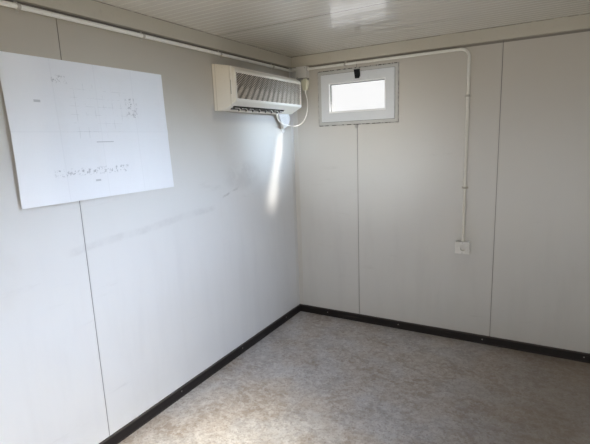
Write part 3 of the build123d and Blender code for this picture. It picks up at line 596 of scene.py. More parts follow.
# %% [markdown]
# ## Floor
# Sheet vinyl of this kind is printed with a stone-like speckle: pale and dark flecks on a ground that
# drifts between brown and grey. Noise gives the drift, the flecks and the thin veins, cells of two
# sizes give flakes and specks, and noise drawn out one way gives the traffic marks. The board under it
# shows only at the open edges.

# %% Vinyl and board
vinyl = Finish("speckled_vinyl")
x, y, z = vinyl.point.axes()
flat = vinyl.point.placed(scale=(1, 1, 0.2))
broad = flat.placed(move=(0.6, 3.1, 0)).noise(2.6, 3.0, 0.6).above(0.42, 0.58)
swirl = flat.noise(9.0, 3.0, 0.6).above(0.52, 0.74)
patches = flat.noise(6.0, 5.0, 0.72).above(0.4, 0.6)
veins = flat.placed(move=(1.7, 0.4, 0)).noise(22.0, 5.0, 0.75) - 0.5
veins = veins.math("ABSOLUTE").above(0.045, 0.01)
flakes = flat.placed(turn=(0, 0, 0.7), scale=(1, 1.7, 1)).cells(27.0)[0].above(0.45, 0.8)
specks = flat.placed(move=(2.3, 1.1, 0)).cells(110.0)[1].above(0.8, 0.88)
pale = flat.placed(move=(5.1, 2.2, 0)).noise(27.0, 3.0, 0.6).above(0.5, 0.58)
dark = flat.placed(move=(0.9, 7.4, 0)).noise(34.0, 3.0, 0.6).above(0.56, 0.64)
worn = flat.placed(turn=(0, 0, 0.5), scale=(3, 12, 1)).noise(0.7, 4.0, 0.6).above(0.42, 0.7)
brown = patches.blend((0.355, 0.295, 0.245), (0.49, 0.432, 0.385))
grey = patches.blend((0.39, 0.362, 0.352), (0.525, 0.508, 0.502))
tint = stained(
    broad.blend(brown, grey),
    (flakes * 0.3, (0.62, 0.585, 0.55)),
    (pale * 0.42, (0.66, 0.635, 0.61)),
    (dark * 0.28, (0.215, 0.17, 0.135)),
    (veins * 0.25, (0.235, 0.175, 0.13)),
    (specks * 0.28, (0.16, 0.125, 0.1)),
    (swirl * 0.2, (0.29, 0.23, 0.18)),
    (worn * 0.18, (0.56, 0.53, 0.49)),
    # Darker away from the long wall: painted shade.
    (0.62 * x.above(CORNER.x + 1.1, CORNER.x + 2.1), (0.25, 0.188, 0.13)))
vinyl.set(Base_Color=tint, Roughness=0.32 + 0.18 * worn + 0.1 * patches,
          Normal=(flakes + 2.0 * patches).bump(0.0003, 0.6))
dress(vinyl, "floor_vinyl")

board = Finish("floor_board", Roughness=0.9)
grain = board.point.noise(60.0, 5.0, 0.7)
board.set(Base_Color=grain.blend((0.36, 0.34, 0.31), (0.58, 0.55, 0.51)),
          Normal=grain.bump(0.0012, 0.8))
dress(board, "floor_board")

# %% [markdown]
# ## Dark skirting
# A moulded skirting runs round the floor. Shoes and mops leave it scuffed and dusty at the foot, and its
# top edge is painted lighter as a highlight. Small pan-head screws hold it.

# %% Skirting finish
skirting = Finish("dark_skirting", Specular_IOR_Level=0.25)
x, y, z = skirting.point.axes()
scuff = skirting.point.placed(scale=(4, 4, 40)).noise(1.0, 5.0, 0.7).above(0.55, 0.75)
# A painted highlight along the skirting's top edge.
top_highlight = z.above(CORNER.z + 0.052, CORNER.z + 0.064)
foot = z.above(CORNER.z + 0.018, CORNER.z) * skirting.point.noise(25.0, 4.0, 0.6)
tint = (scuff * 0.4 + 0.6 * top_highlight).blend((0.011, 0.009, 0.009), (0.095, 0.08, 0.072))
tint = stained(tint, (foot * 0.3, (0.18, 0.15, 0.13)))
skirting.set(Base_Color=tint, Roughness=0.55 + 0.25 * scuff,
             Normal=skirting.point.noise(70.0, 3.0, 0.6).bump(0.0005, 0.5))
dress(skirting, "skirting_side", "skirting_end")

# %% [markdown]
# ## Painted steel frame
# The rails and posts are rolled steel, primed and painted a dark blue-grey. The paint is thick and a
# little wavy, chalky where the sun has had it, chipped low down, and rust shows in the chips.

# %% Frame paint
paint = Finish("frame_paint")
x, y, z = paint.point.axes()
cloud = paint.point.noise(2.0, 4.0, 0.6)
chips = paint.point.noise(34.0, 6.0, 0.75).above(0.66, 0.7) * (0.35 + 0.65 * z.above(0.5, 0.05))
rust_halo = paint.point.noise(34.0, 6.0, 0.75).above(0.6, 0.68) * z.above(0.6, 0.05)
runs = paint.point.placed(scale=(14, 14, 0.8)).noise(1.0, 4.0, 0.6).above(0.5, 0.8)
tint = stained(
    cloud.blend((0.085, 0.12, 0.16), (0.125, 0.165, 0.205)),
    (runs * 0.3, (0.205, 0.215, 0.215)),
    (rust_halo * 0.45, (0.2, 0.085, 0.035)),
    (chips * 0.9, (0.115, 0.045, 0.022)))
paint.set(Base_Color=tint, Roughness=0.36 + 0.12 * cloud + 0.45 * chips,
          Normal=(paint.point.noise(26.0, 3.0, 0.5) + (-1.6) * chips).bump(0.0009, 0.6))
sides = ("far", "near", "left", "right")
rails = [f"{level}_rail_{side}" for level in ("base", "roof") for side in sides]
posts = [f"corner_post_{end}_{side}" for end in ("far", "near") for side in ("left", "right")]
dress(paint, *rails, *posts, "floor_joists")

# %% [markdown]
# ## The window
# A small white plastic window: frame, sash, and a bead that holds the pane. What draws it is the dark
# rubber: one line in the gap round the sash and one round the pane. Both are square rings, so each
# starts as a flat plane: its face is inset, the face left in the middle is deleted, and the ring is
# drawn out to its thickness.

# %% White plastic and glass
pane_low, pane_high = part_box("window_glass")


def white_plastic(name, light, dark):
    """White window plastic, painted brightest on the bead round the pane as a highlight."""
    finish = Finish(name)
    x, y, z = finish.point.axes()
    cloud = finish.point.noise(5.0, 4.0, 0.6)
    grime = finish.point.noise(30.0, 5.0, 0.7).above(0.56, 0.8)
    # The bead round the pane is painted lighter as a highlight.
    bead_highlight = x.within(pane_low.x, pane_high.x, 0.0006) * z.within(pane_low.z, pane_high.z, 0.0006)
    tint = stained(cloud.blend(dark, light), (grime * 0.35, (0.34, 0.33, 0.3)),
                   (bead_highlight, (0.93, 0.93, 0.92)))
    return finish.set(Base_Color=tint, Roughness=0.28 + 0.3 * grime,
                      Normal=finish.point.noise(55.0, 2.0, 0.5).bump(0.0003, 0.5))


dress(white_plastic("sash_white", (0.76, 0.77, 0.77), (0.66, 0.675, 0.68)), "window_sash")
dress(white_plastic("frame_white", (0.56, 0.55, 0.515), (0.485, 0.475, 0.445)), "window_frame")

glass = Finish("window_pane", Base_Color=(0.96, 0.98, 0.98, 1), Alpha=0.05, IOR=1.5)
smear = glass.point.placed(scale=(2, 2, 9)).noise(2.0, 4.0, 0.6)
glass.set(Roughness=0.03 + 0.1 * smear.above(0.5, 0.8))
dress(glass, "window_glass")

black = Finish("black_moulding", Base_Color=(0.008, 0.008, 0.009, 1), Specular_IOR_Level=0.15)
rub = black.point.noise(90.0, 3.0, 0.6)
black.set(Roughness=0.5 + 0.3 * rub, Normal=rub.bump(0.0003, 0.5))
dress(black, "window_handle")

rubber = Finish("rubber_seal", Base_Color=(0.012, 0.012, 0.013, 1), Specular_IOR_Level=0.2)
grain = rubber.point.noise(220.0, 2.0, 0.6)
rubber.set(Roughness=0.6 + 0.3 * grain, Normal=grain.bump(0.0002, 0.6))

# %% Rubber seals
def new_ring(name, low, high, near, bar, depth):
    """A thin square ring that stands against the end wall, open in the middle."""
    clear_selection()
    place = room((low[0] + high[0]) / 2, near, (low[1] + high[1]) / 2)
    bpy.ops.mesh.primitive_plane_add(size=1, location=place, rotation=(pi / 2, 0, 0))
    ring = settle(bpy.context.object, name, (high[0] - low[0], high[1] - low[1], 1))
    pick(ring, "FACE", lambda centre, normal: True)
    bpy.ops.mesh.inset(thickness=bar)
    bpy.ops.mesh.delete(type="FACE")
    bpy.ops.mesh.select_all(action="SELECT")
    bpy.ops.mesh.extrude_region_move(TRANSFORM_OT_translate={"value": (0, depth, 0)})
    bpy.ops.mesh.select_all(action="SELECT")
    bpy.ops.mesh.normals_make_consistent(inside=False)
    leave()
    return ring


def from_room(corner):
    return corner.x - CORNER.x, corner.z - CORNER.z


sash_low, sash_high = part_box("window_sash")
SASH_LIP, BEAD = 0.007, 0.01
low, high = from_room(sash_low), from_room(sash_high)
outer = [(low[0] - SASH_LIP, low[1] - SASH_LIP), (high[0] + SASH_LIP, high[1] + SASH_LIP)]
sash_seal = new_ring("sash_seal", *outer, sash_low.y - CORNER.y + 0.006, bar=0.0085, depth=0.004)

# The pane's seal is tucked under the bead, further at the foot and on the right.
TUCK, DEEP_TUCK = 0.001, 0.004
low, high = from_room(pane_low), from_room(pane_high)
inner = [(low[0] + BEAD - TUCK, low[1] + BEAD - DEEP_TUCK),
         (high[0] - BEAD + DEEP_TUCK, high[1] - BEAD + TUCK)]
pane_seal = new_ring("pane_seal", *inner, pane_low.y - CORNER.y - 0.0018, bar=0.005, depth=0.0016)
outer_seal = new_ring("pane_seal_outside", *inner, pane_high.y - CORNER.y + 0.0002, bar=0.002, depth=0.0016)
for ring in (sash_seal, pane_seal, outer_seal):
    seat(ring, rubber, "handle_black")

# %% [markdown]
# Round the frame the fitter ran a bead of sealant, and wiped it unevenly. It starts as a flat ring too,
# cut into short lengths, and a little seeded noise moves its points before it is rounded.

# %% Sealant, dirty along its level runs
frame_low, frame_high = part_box("window_frame")
sealant_paint = Finish("sealant", Roughness=0.55)
blot = sealant_paint.point.noise(45.0, 4.0, 0.65)
x, y, z = sealant_paint.point.axes()
level_run = x.within(frame_low.x + 0.004, frame_high.x - 0.004, 0.004)
dirty = level_run * blot.above(0.54, 0.46) + 0.35 * (1 - level_run) * blot.above(0.52, 0.44)
sealant_paint.set(Base_Color=dirty.blend((0.5, 0.485, 0.45), (0.06, 0.052, 0.045)),
                  Normal=blot.bump(0.001, 0.7))

# %% Lay and wipe the bead
REACH, NEAR, DEPTH, WIDTH = 0.0045, -0.003, 0.0028, 0.0055
WIPED = 0.0012
low, high = from_room(frame_low), from_room(frame_high)
sealant = new_ring("frame_sealant", (low[0] - REACH, low[1] - REACH), (high[0] + REACH, high[1] + REACH),
                   NEAR, WIDTH, DEPTH)
pick(sealant, "FACE", lambda centre, normal: True)
for step in range(4):
    bpy.ops.mesh.select_all(action="SELECT")
    bpy.ops.mesh.subdivide(number_cuts=1)
leave()
chance = Random(7)
wall_y = CORNER.y + NEAR + DEPTH
for vertex in sealant.data.vertices:
    swell = 1 + 0.5 * chance.uniform(-1, 1)
    vertex.co.y = wall_y + (vertex.co.y - wall_y) * swell
    vertex.co.x += WIPED * chance.uniform(-1, 1)
    vertex.co.z += WIPED * chance.uniform(-1, 1)
only(sealant)
bpy.ops.object.shade_smooth()
seat(sealant, sealant_paint, "window_white")

# %% [markdown]
# ## The cooling unit
# A split unit's indoor half. Its shell was white and has yellowed, more on top and at the front than low
# down. Behind the slats sits a dark fibre filter in slanting folds, and fine upright fins stand in front
# of it. The slats are on the solid model; the fins and the filter are too thin for it. The outlet's walls
# and the lip below it are painted near black as shade, found by how far up the sloping chin, and how far
# off it, a point is.

# %% Where the outlet is
louvre_low, louvre_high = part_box("cooler_louvres")
WALL_FACE = CORNER.x
CHIN_FOOT, CHIN_RUN, CHIN_RISE = 0.087, 0.09, 0.048
OUTLET_MIDDLE, OUTLET_HALF = 0.0316, 0.0187
chin_foot = Vector((WALL_FACE + CHIN_FOOT, 0, cooler_low.z))
chin_up = Vector((CHIN_RUN, 0, CHIN_RISE)).normalized()
chin_out = Vector((CHIN_RISE, 0, -CHIN_RUN)).normalized()


def on_chin(x, z):
    """How far up the sloping chin a point is, and how far out of it."""
    return ((x - chin_foot.x) * chin_up.x + (z - chin_foot.z) * chin_up.z,
            (x - chin_foot.x) * chin_out.x + (z - chin_foot.z) * chin_out.z)


# %% Yellowed shell
shell = Finish("yellowed_shell")
x, y, z = shell.point.axes()
cloud = shell.point.noise(3.0, 3.0, 0.5)
aged = z.above(cooler_low.z + 0.03, cooler_high.z)
dust = shell.point.noise(60.0, 4.0, 0.65).above(0.52, 0.8)
side_face = y.above(cooler_low.y + 0.01, cooler_low.y + 0.004)
off_wall = x - WALL_FACE
# Painted shade at the side cover's seams and in the latch slot, a painted highlight on the front rim, and a
# painted shadow along the back edge against the wall.
cover_seam_shade = off_wall.within(0.0245, 0.0265, 0.004) + 0.8 * off_wall.within(0.1365, 0.138, 0.003)
latch_slot = off_wall.within(0.1395, 0.144, 0.001)
latch_slot = latch_slot * z.within(cooler_low.z + 0.094, cooler_low.z + 0.174, 0.003)
rim_highlight = off_wall.within(0.146, 0.153, 0.0015) * y.above(cooler_low.y + 0.016, cooler_low.y + 0.01)
back_edge_shadow = off_wall.above(0.006, 0.002)
run, off_chin = on_chin(x, z)
# The outlet's inside and a line on the chin below it are painted near black as shade.
outlet_shade = run.within(OUTLET_MIDDLE - OUTLET_HALF, OUTLET_MIDDLE + OUTLET_HALF, 0.0005)
outlet_shade = outlet_shade * off_chin.within(-0.033, -0.0014, 0.0008)
outlet_shade = outlet_shade * y.within(louvre_low.y - 0.0007, louvre_high.y + 0.0007, 0.0005)
lip_shade = run.within(0.006, OUTLET_MIDDLE - OUTLET_HALF, 0.001) * off_wall.above(0.084, CHIN_FOOT)
lip_shade = lip_shade * y.within(louvre_low.y + 0.01, louvre_high.y - 0.02, 0.006)
tint = stained(
    aged.blend((0.83, 0.81, 0.75), (0.74, 0.675, 0.56)),
    (cloud * 0.35, (0.62, 0.56, 0.44)),
    (dust * 0.22 * aged, (0.33, 0.28, 0.21)),
    (0.3 * side_face * cover_seam_shade, (0.24, 0.19, 0.14)),
    (0.85 * side_face * latch_slot, (0.075, 0.062, 0.05)),
    (0.55 * rim_highlight, (0.84, 0.82, 0.77)),
    (0.6 * back_edge_shadow, (0.16, 0.13, 0.1)),
    (0.97 * outlet_shade, (0.012, 0.011, 0.01)),
    (0.85 * lip_shade, (0.06, 0.048, 0.038)))
gloss = 0.36 + 0.15 * cloud
shell.set(Base_Color=tint, Roughness=gloss.math("MAXIMUM", outlet_shade),
          Normal=(shell.point.noise(420.0, 2.0, 0.6) + 3.0 * cloud).bump(0.0002, 0.5))
dress(shell, "cooler_housing", "cooler_front", "cooler_back_case")

# %% Yellowed slats
grille_low, grille_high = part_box("cooler_grille")
FOLD_PITCH, ROW_PITCH = 0.062, 0.014


def waves(y, z):
    """Slanting folds of the filter behind the slats; they stand up straighter towards the far end."""
    height = z - grille_low.z
    share = (y - grille_low.y) * (1 / (grille_high.y - grille_low.y))
    lean = 1.0 - 0.95 * share
    return (y - height * lean).ridges(FOLD_PITCH)


slats = Finish("yellowed_slats")
x, y, z = slats.point.axes()
# Faces set back behind the slats' fronts are painted dark as shade.
deep_shade = x.above(grille_high.x - 0.0047, grille_high.x - 0.005)
cloud = slats.point.noise(8.0, 4.0, 0.6)
fluff = slats.point.noise(120.0, 4.0, 0.7).above(0.5, 0.75)
upper = z.above(grille_low.z + 0.045, grille_low.z + 0.1)
# The dark rows and slanting folds on the slats' fronts are painted shade of the filter behind them.
rows = (z - 0.62 * y).ridges(ROW_PITCH)
folds = waves(y, z)
fold_shade = upper * (0.3 * folds + 0.9 * rows) + (1 - upper) * 0.65 * folds
fold_shade = fold_shade.above(0.12, 0.85) * (0.5 + 0.5 * y.above(grille_high.y, grille_low.y + 0.3))
tint = stained(
    cloud.blend((0.88, 0.755, 0.6), (0.94, 0.85, 0.72)),
    (fluff * 0.25, (0.35, 0.3, 0.24)),
    (0.88 * fold_shade, (0.085, 0.06, 0.04)),
    (deep_shade, fold_shade.blend((0.15, 0.12, 0.088), (0.008, 0.006, 0.005))))
slats.set(Base_Color=tint, Roughness=0.4 + 0.3 * fluff,
          Normal=slats.point.noise(300.0, 2.0, 0.6).bump(0.0002, 0.5))
dress(slats, "cooler_grille")

# %% Outlet's blade, and the filter's mesh
blades = Finish("outlet_blades")
cloud = blades.point.noise(40.0, 3.0, 0.6)
x, y, z = blades.point.axes()
WHITE_HALF = 0.0024
run, off_chin = on_chin(x, z)
# The blade is painted dark as shade where it sits in the chin and outside a thin middle strip, and noise
# breaks the strip further.
chips_and_shade = blades.point.placed(scale=(1, 9, 1)).noise(2.1, 2.0, 0.5).above(0.5, 0.58)
blade_shade = 1 - run.within(OUTLET_MIDDLE - WHITE_HALF, OUTLET_MIDDLE + WHITE_HALF, 0.0004)
chips_and_shade = chips_and_shade.math("MAXIMUM", blade_shade)
tint = stained(
    cloud.blend((0.8, 0.78, 0.73), (0.92, 0.9, 0.86)),
    (0.94 * off_chin.above(-0.0028, -0.0034), (0.03, 0.027, 0.024)),
    (0.92 * chips_and_shade, (0.03, 0.026, 0.023)))
blades.set(Base_Color=tint, Roughness=0.4 + 0.55 * chips_and_shade)
dress(blades, "cooler_louvres")

filter_mesh = Finish("filter_mesh", Roughness=0.85)
x, y, z = filter_mesh.point.axes()
MESH_PITCH = 0.0022
weave = y.ridges(MESH_PITCH) * z.ridges(MESH_PITCH)
clogged = filter_mesh.point.noise(18.0, 5.0, 0.7).above(0.5, 0.8)
tint = stained(
    weave.above(0.2, 0.6).blend((0.022, 0.018, 0.014), (0.115, 0.095, 0.07)),
    (clogged * 0.5, (0.19, 0.165, 0.13)),
    # Darker along the filter's folds: painted shade.
    (0.8 * waves(y, z), (0.02, 0.017, 0.014)))
filter_mesh.set(Base_Color=tint, Normal=weave.bump(0.0004, 0.7))

# %% Filter behind the slats
MARGIN = 0.001
screen = new_box("cooler_filter", (grille_low.x + 0.0002, grille_low.y + MARGIN, grille_low.z + MARGIN),
                 (grille_low.x + MARGIN, grille_high.y - MARGIN, grille_high.z - MARGIN))
pick(screen, "FACE", lambda centre, normal: normal.x > 0.9)
bpy.ops.mesh.inset(thickness=0.004)
bpy.ops.transform.translate(value=(-0.0006, 0, 0))
leave()
seat(screen, filter_mesh, "cooler_grille")

# %% Upright fins in front of the filter
FIN_PITCH, FIN = 0.0078, 0.0011
fin_low = grille_low.x + 0.003
fin_high = grille_high.x - 0.0052
count = int((grille_high.y - grille_low.y - 0.008) / FIN_PITCH)
fin = new_box("cooler_fins", (fin_low, -FIN / 2, grille_low.z + 0.003),
              (fin_high, FIN / 2, grille_high.z - 0.003))
pick(fin, "EDGE", lambda middle, along: abs(along.z) > 0.9 and middle.x > fin_high - 0.001)
bpy.ops.mesh.bevel(offset=0.0004, segments=1)
leave()
start = (grille_low.y + grille_high.y - (count - 1) * FIN_PITCH) / 2
add_modifier(fin, "ARRAY", count=count, use_relative_offset=False, use_constant_offset=True,
             constant_offset_displace=(0, FIN_PITCH, 0))
fin.location.y = start
settle(fin, "cooler_fins")
seat(fin, slats, "cooler_grille")
print("fins:", count, "triangles:", 2 * len(fin.data.polygons))

# %% [markdown]
# ## Wrapped pipes
# The pipes and the drain leave together, wound in white vinyl tape. The tape overlaps itself by half,
# which makes a small step at every turn. The steps run square to the bundle, so we measure along it and
# take the remainder after each turn of tape.

# %% Wound tape
wrap = Finish("wound_tape")
TAPE_PITCH = 0.019
along = Vector((-0.056, 0.105, -0.108)).normalized()
tilt = wrap.point.node("ShaderNodeVectorMath", {"operation": "DOT_PRODUCT"},
                       {0: wrap.point, 1: tuple(along)}, 1)
lap = tilt * (1 / TAPE_PITCH) + 0.35 * wrap.point.noise(9.0, 2.0, 0.5)
lap = lap.math("FRACT")
# The darker line at each step of the tape is painted shade.
edge = lap.above(0.9, 0.99)
crease = wrap.point.placed(scale=(60, 20, 60)).noise(1.0, 3.0, 0.6)
tint = stained(crease.blend((0.66, 0.665, 0.66), (0.78, 0.78, 0.77)), (edge * 0.55, (0.36, 0.36, 0.36)))
wrap.set(Base_Color=tint, Roughness=0.3 + 0.2 * crease,
         Normal=(lap + 0.35 * crease).bump(0.0016, 0.8))
dress(wrap, "cooler_pipe_bundle")

# %% [markdown]
# ## Wiring
# Round conduit, its saddles and boxes are cheap moulded plastic. Each aged its own way: the conduit is
# still creamy, the junction box was painted over with the wall, and the plug is yellow.

# %% Moulded plastics
def moulding(name, light, dark, rough):
    """Plain moulded plastic: a slightly uneven tint, dust in specks and a fine texture."""
    finish = Finish(name)
    cloud = finish.point.noise(12.0, 4.0, 0.6)
    dust = finish.point.noise(85.0, 4.0, 0.65).above(0.55, 0.8)
    tint = (dust * 0.3).blend(cloud.blend(light, dark), tuple(0.45 * v for v in dark))
    return finish.set(Base_Color=tint, Roughness=rough + 0.18 * dust,
                      Normal=(finish.point.noise(260.0, 2.0, 0.6) + cloud).bump(0.0003, 0.5))


box_grey = moulding("painted_box", (0.7, 0.68, 0.63), (0.62, 0.6, 0.55), 0.42)
dress(box_grey, "junction_box")
dress(moulding("cream_conduit", (0.84, 0.82, 0.76), (0.76, 0.74, 0.67), 0.36),
      "conduit_side", "conduit_end")
dress(moulding("grey_saddle", (0.52, 0.49, 0.43), (0.44, 0.41, 0.35), 0.42), "conduit_clips")
dress(moulding("socket_plastic", (0.84, 0.84, 0.83), (0.77, 0.76, 0.74), 0.34),
      "socket_box", "socket_insert")
dress(moulding("plug_cream", (0.78, 0.74, 0.56), (0.68, 0.64, 0.47), 0.38), "cooler_plug")

# %% Painted shade at the junction box's foot
box_low, box_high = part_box("junction_box")
x, y, z = box_grey.point.axes()
foot_shade = z.within(box_low.z - 0.002, box_low.z + 0.004, 0.0006)
plain = Wire(box_grey.shader.inputs["Base Color"].links[0].from_socket)
box_grey.set(Base_Color=(0.75 * foot_shade).blend(plain, (0.1, 0.085, 0.07)))

# %% Sheath of the cord
sheath = moulding("cord_sheath", (0.88, 0.86, 0.8), (0.8, 0.78, 0.71), 0.4)
seat(power_cord, sheath, "cord_white")
for sleeve in (sleeve_cooler, sleeve_plug):
    seat(sleeve, sheath, "cord_white")
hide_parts("cooler_power_cord")

# %% [markdown]
# ## Small fasteners
# Pan-head screws hold the skirting and the boxes. We start from a short cylinder, draw its front face
# in and raise it for the dome, then draw it in once more and sink it for the driver's recess.

# %% One screw, then copies of it
steel = Finish("screw_steel", Metallic=1.0)
tarnish = steel.point.noise(400.0, 3.0, 0.6)
steel.set(Base_Color=tarnish.above(0.4, 0.7).blend((0.3, 0.29, 0.27), (0.16, 0.14, 0.12)),
          Roughness=0.28 + 0.3 * tarnish)


def new_screw(name, radius, facing):
    """A domed screw head at the origin that looks along one direction."""
    clear_selection()
    bpy.ops.mesh.primitive_cylinder_add(vertices=12, radius=radius, depth=0.5 * radius)
    screw = settle(bpy.context.object, name)
    pick(screw, "FACE", lambda centre, normal: normal.z > 0.9)
    bpy.ops.mesh.inset(thickness=0.3 * radius)
    bpy.ops.transform.translate(value=(0, 0, 0.22 * radius))
    bpy.ops.mesh.inset(thickness=0.42 * radius)
    bpy.ops.transform.translate(value=(0, 0, -0.25 * radius))
    leave()
    screw.rotation_euler = Vector(facing).to_track_quat("Z", "Y").to_euler()
    settle(screw, name)
    bpy.ops.object.shade_smooth_by_angle(angle=radians(50))
    return screw


def fasten(name, radius, facing, places, slot):
    screws = copies(new_screw(name, radius, facing), places)
    screws.name = name
    seat(screws, steel, slot)


SKIRTING_OUT, SCREW_PITCH, SCREW_HEAD = 0.0105, 0.62, 0.0042
side_screws = [room(SKIRTING_OUT, -0.262 - SCREW_PITCH * i, 0.04) for i in range(5)]
end_screws = [room(0.28 + SCREW_PITCH * i, -SKIRTING_OUT, 0.036) for i in range(4)]
fasten("skirting_screws_side", SCREW_HEAD, (1, 0, 0), side_screws, "skirting")
fasten("skirting_screws_end", SCREW_HEAD, (0, -1, 0), end_screws, "skirting")

# %% Screws of the boxes
HEAD_OUT = 0.0002
low, high = box_low, box_high
middle = (low + high) / 2
junction_screws = [Vector((middle.x + side, low.y - HEAD_OUT, middle.z + side)) for side in (-0.034, 0.034)]
fasten("junction_screws", 0.003, (0, -1, 0), junction_screws, "wiring_grey")
low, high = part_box("socket_box")
middle = (low + high) / 2
socket_screws = [Vector((middle.x, low.y - HEAD_OUT, z)) for z in (low.z + 0.007, high.z - 0.007)]
fasten("socket_screws", 0.0026, (0, -1, 0), socket_screws, "socket_white")
print("screws:", sum(map(len, (side_screws, end_screws, junction_screws, socket_screws))))

# %% [markdown]
# ## The sheet of drawings
# A folded plan has been opened and hung on the long wall by its top edge. Paper keeps the memory of its
# folds: the panels between them stay a little bowed, and the lower edge stands off the wall. We start
# from a flat grid, stand it against the wall, and move its points by a height worked out from where each
# one is on the sheet. Its UV map goes with it, so the painted shade along the folds follows the paper.

# %% Shape the paper
sheet_low, sheet_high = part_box("plan_sheet")
SHEET_WIDTH, SHEET_HEIGHT = sheet_high.y - sheet_low.y, sheet_high.z - sheet_low.z
PAPER = 0.0006
clear_selection()
bpy.ops.mesh.primitive_grid_add(x_subdivisions=104, y_subdivisions=76, size=1,
                                location=(sheet_low.x, (sheet_low.y + sheet_high.y) / 2,
                                          (sheet_low.z + sheet_high.z) / 2),
                                rotation=(pi / 2, 0, pi / 2))
paper = settle(bpy.context.object, "drawing_sheet", (SHEET_WIDTH, SHEET_HEIGHT, 1))


def fold(place, at, width, height):
    """A crease: a narrow ridge with straight flanks."""
    return height * max(0.0, 1 - abs(place - at) / width)


def paper_lift(u, v):
    """How far the sheet stands off the wall at a place on it, u from its near edge and v from its foot."""
    free = max(0.0, 1 - v)
    near = max(0.0, 1 - u)
    foot = (0.022 + 0.0045 * near) * free ** 1.3
    edge = 0.016 * near ** 5 * max(0.0, sin(pi * min(1.0, 1.05 * free))) ** 0.7
    bow = 0.0022 * sin(pi * ((4 * u) % 1.0)) * (0.25 + 0.75 * free)
    folds = fold(u, 0.25, 0.05, 0.0028) - fold(u, 0.5, 0.05, 0.001) + fold(u, 0.75, 0.05, 0.0026)
    across = fold(v, 0.5, 0.06, 0.0022)
    wave = 0.0016 * sin(9.0 * u) * free ** 2
    return 0.001 + foot + edge + wave + 0.8 * bow + folds * (0.3 + 0.7 * free) + across


for vertex in paper.data.vertices:
    u = (vertex.co.y - sheet_low.y) / SHEET_WIDTH
    v = (vertex.co.z - sheet_low.z) / SHEET_HEIGHT
    vertex.co.x = sheet_low.x + paper_lift(u, v)
add_modifier(paper, "SOLIDIFY", thickness=PAPER, offset=1.0)
only(paper)
bpy.ops.object.shade_smooth_by_angle(angle=radians(60))
furthest = max(vertex.co.x for vertex in paper.data.vertices)
print("paper stands off the wall by up to", round(furthest - sheet_low.x, 4))

# %% [markdown]
# The drawing on it is faint grey: broken setting-out lines in the middle, three groups of small dots,
# and three short bars. All of it is masks on the paper's own UV map, so nothing slides when the sheet
# bends. Noise breaks the lines, because print fades and folds unevenly.

# %% Paper and faint linework
leaf = Finish("drawing_paper", coordinates="UV")
u, v, w = leaf.point.axes()


def patch_of(left, right, low, high, edge=0.02):
    """A soft-edged rectangle on the sheet."""
    return u.within(left, right, edge) * v.within(low, high, edge)


metres = leaf.point.placed(scale=(SHEET_WIDTH, SHEET_HEIGHT, 1))
broken = metres.placed(move=(3, 1, 0)).noise(22.0, 3.0, 0.6).above(0.46, 0.58)
scribble = metres.noise(60.0, 3.0, 0.7).above(0.52, 0.6)
rules = u.ridges(0.058).above(0.98, 0.998) + v.ridges(0.061).above(0.98, 0.998)
plan = rules * broken * patch_of(0.34, 0.68, 0.46, 0.84)
dots = scribble * (patch_of(0.2, 0.64, 0.195, 0.225) + patch_of(0.26, 0.32, 0.85, 0.88)
                   + patch_of(0.7, 0.76, 0.62, 0.76))
bars = (patch_of(0.46, 0.57, 0.422, 0.427, 0.002) + patch_of(0.14, 0.17, 0.7, 0.712, 0.004)
        + patch_of(0.42, 0.45, 0.13, 0.14, 0.004))
crease = (u.within(0.249, 0.251, 0.004) + u.within(0.499, 0.501, 0.004) + u.within(0.749, 0.751, 0.004)
          + v.within(0.499, 0.501, 0.005))
fibre = leaf.point.noise(160.0, 4.0, 0.6)
handled = leaf.point.noise(5.0, 4.0, 0.6).above(0.5, 0.8)
tint = stained(
    fibre.blend((0.795, 0.808, 0.835), (0.845, 0.858, 0.88)),
    (handled * 0.12, (0.72, 0.71, 0.69)),
    # Lighter and bluer towards the sheet's near edge: painted light.
    (0.75 * u.above(0.26, 0.1), (0.895, 0.905, 0.92)),
    # Greyer along the folds: painted shade.
    (crease.math("MINIMUM", 1.0) * 0.1, (0.5, 0.51, 0.54)),
    (0.16 * plan + 0.5 * dots + 0.42 * bars, (0.2, 0.21, 0.24)))
leaf.set(Base_Color=tint, Roughness=0.62 + 0.1 * fibre,
         Normal=(fibre + 2.0 * handled).bump(0.0003, 0.4))
seat(paper, leaf, "paper")
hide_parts("plan_sheet")

# %% Print the sheet's size
print("sheet:", round(SHEET_WIDTH, 3), "by", round(SHEET_HEIGHT, 3))

# %% [markdown]
# ## Stage, daylight and world
# The cabin stands on a plain pale floor. Its daylight comes as in a real one: from an opening across the
# room, so the lower walls are bright and the roof's edge keeps the upper walls in shade. The world is
# white where the camera, a reflection or the glass sees it, and dim and a little warm for lighting.

# %% Stage floor
clear_selection()
bpy.ops.mesh.primitive_plane_add(size=60, location=(0, 0, solid_box[0][2] - 0.001))
ground = settle(bpy.context.object, "studio_floor")
ground_paint = Finish("studio_floor", Roughness=0.9)
mist = ground_paint.point.noise(0.4, 3.0, 0.5)
ground_paint.set(Base_Color=mist.blend((0.72, 0.72, 0.72), (0.78, 0.78, 0.78)))
path = ground_paint.tree.nodes.new("ShaderNodeLightPath")
seen, mirrored = Wire(path.outputs["Is Camera Ray"]), Wire(path.outputs["Is Glossy Ray"])
pale = mirrored.node("ShaderNodeEmission", {}, {"Color": (1, 1, 1, 1), "Strength": 1.0})
share = mirrored.math("MAXIMUM", 0.72 * seen)
mixed = share.node("ShaderNodeMixShader", {}, {0: share, 1: Wire(ground_paint.shader.outputs[0]), 2: pale})
end = ground_paint.tree.nodes["Material Output"]
ground_paint.tree.links.new(mixed.socket, end.inputs["Surface"])
ground.data.materials.append(ground_paint.material)
print("stage floor at", round(ground.data.vertices[0].co.z, 4))

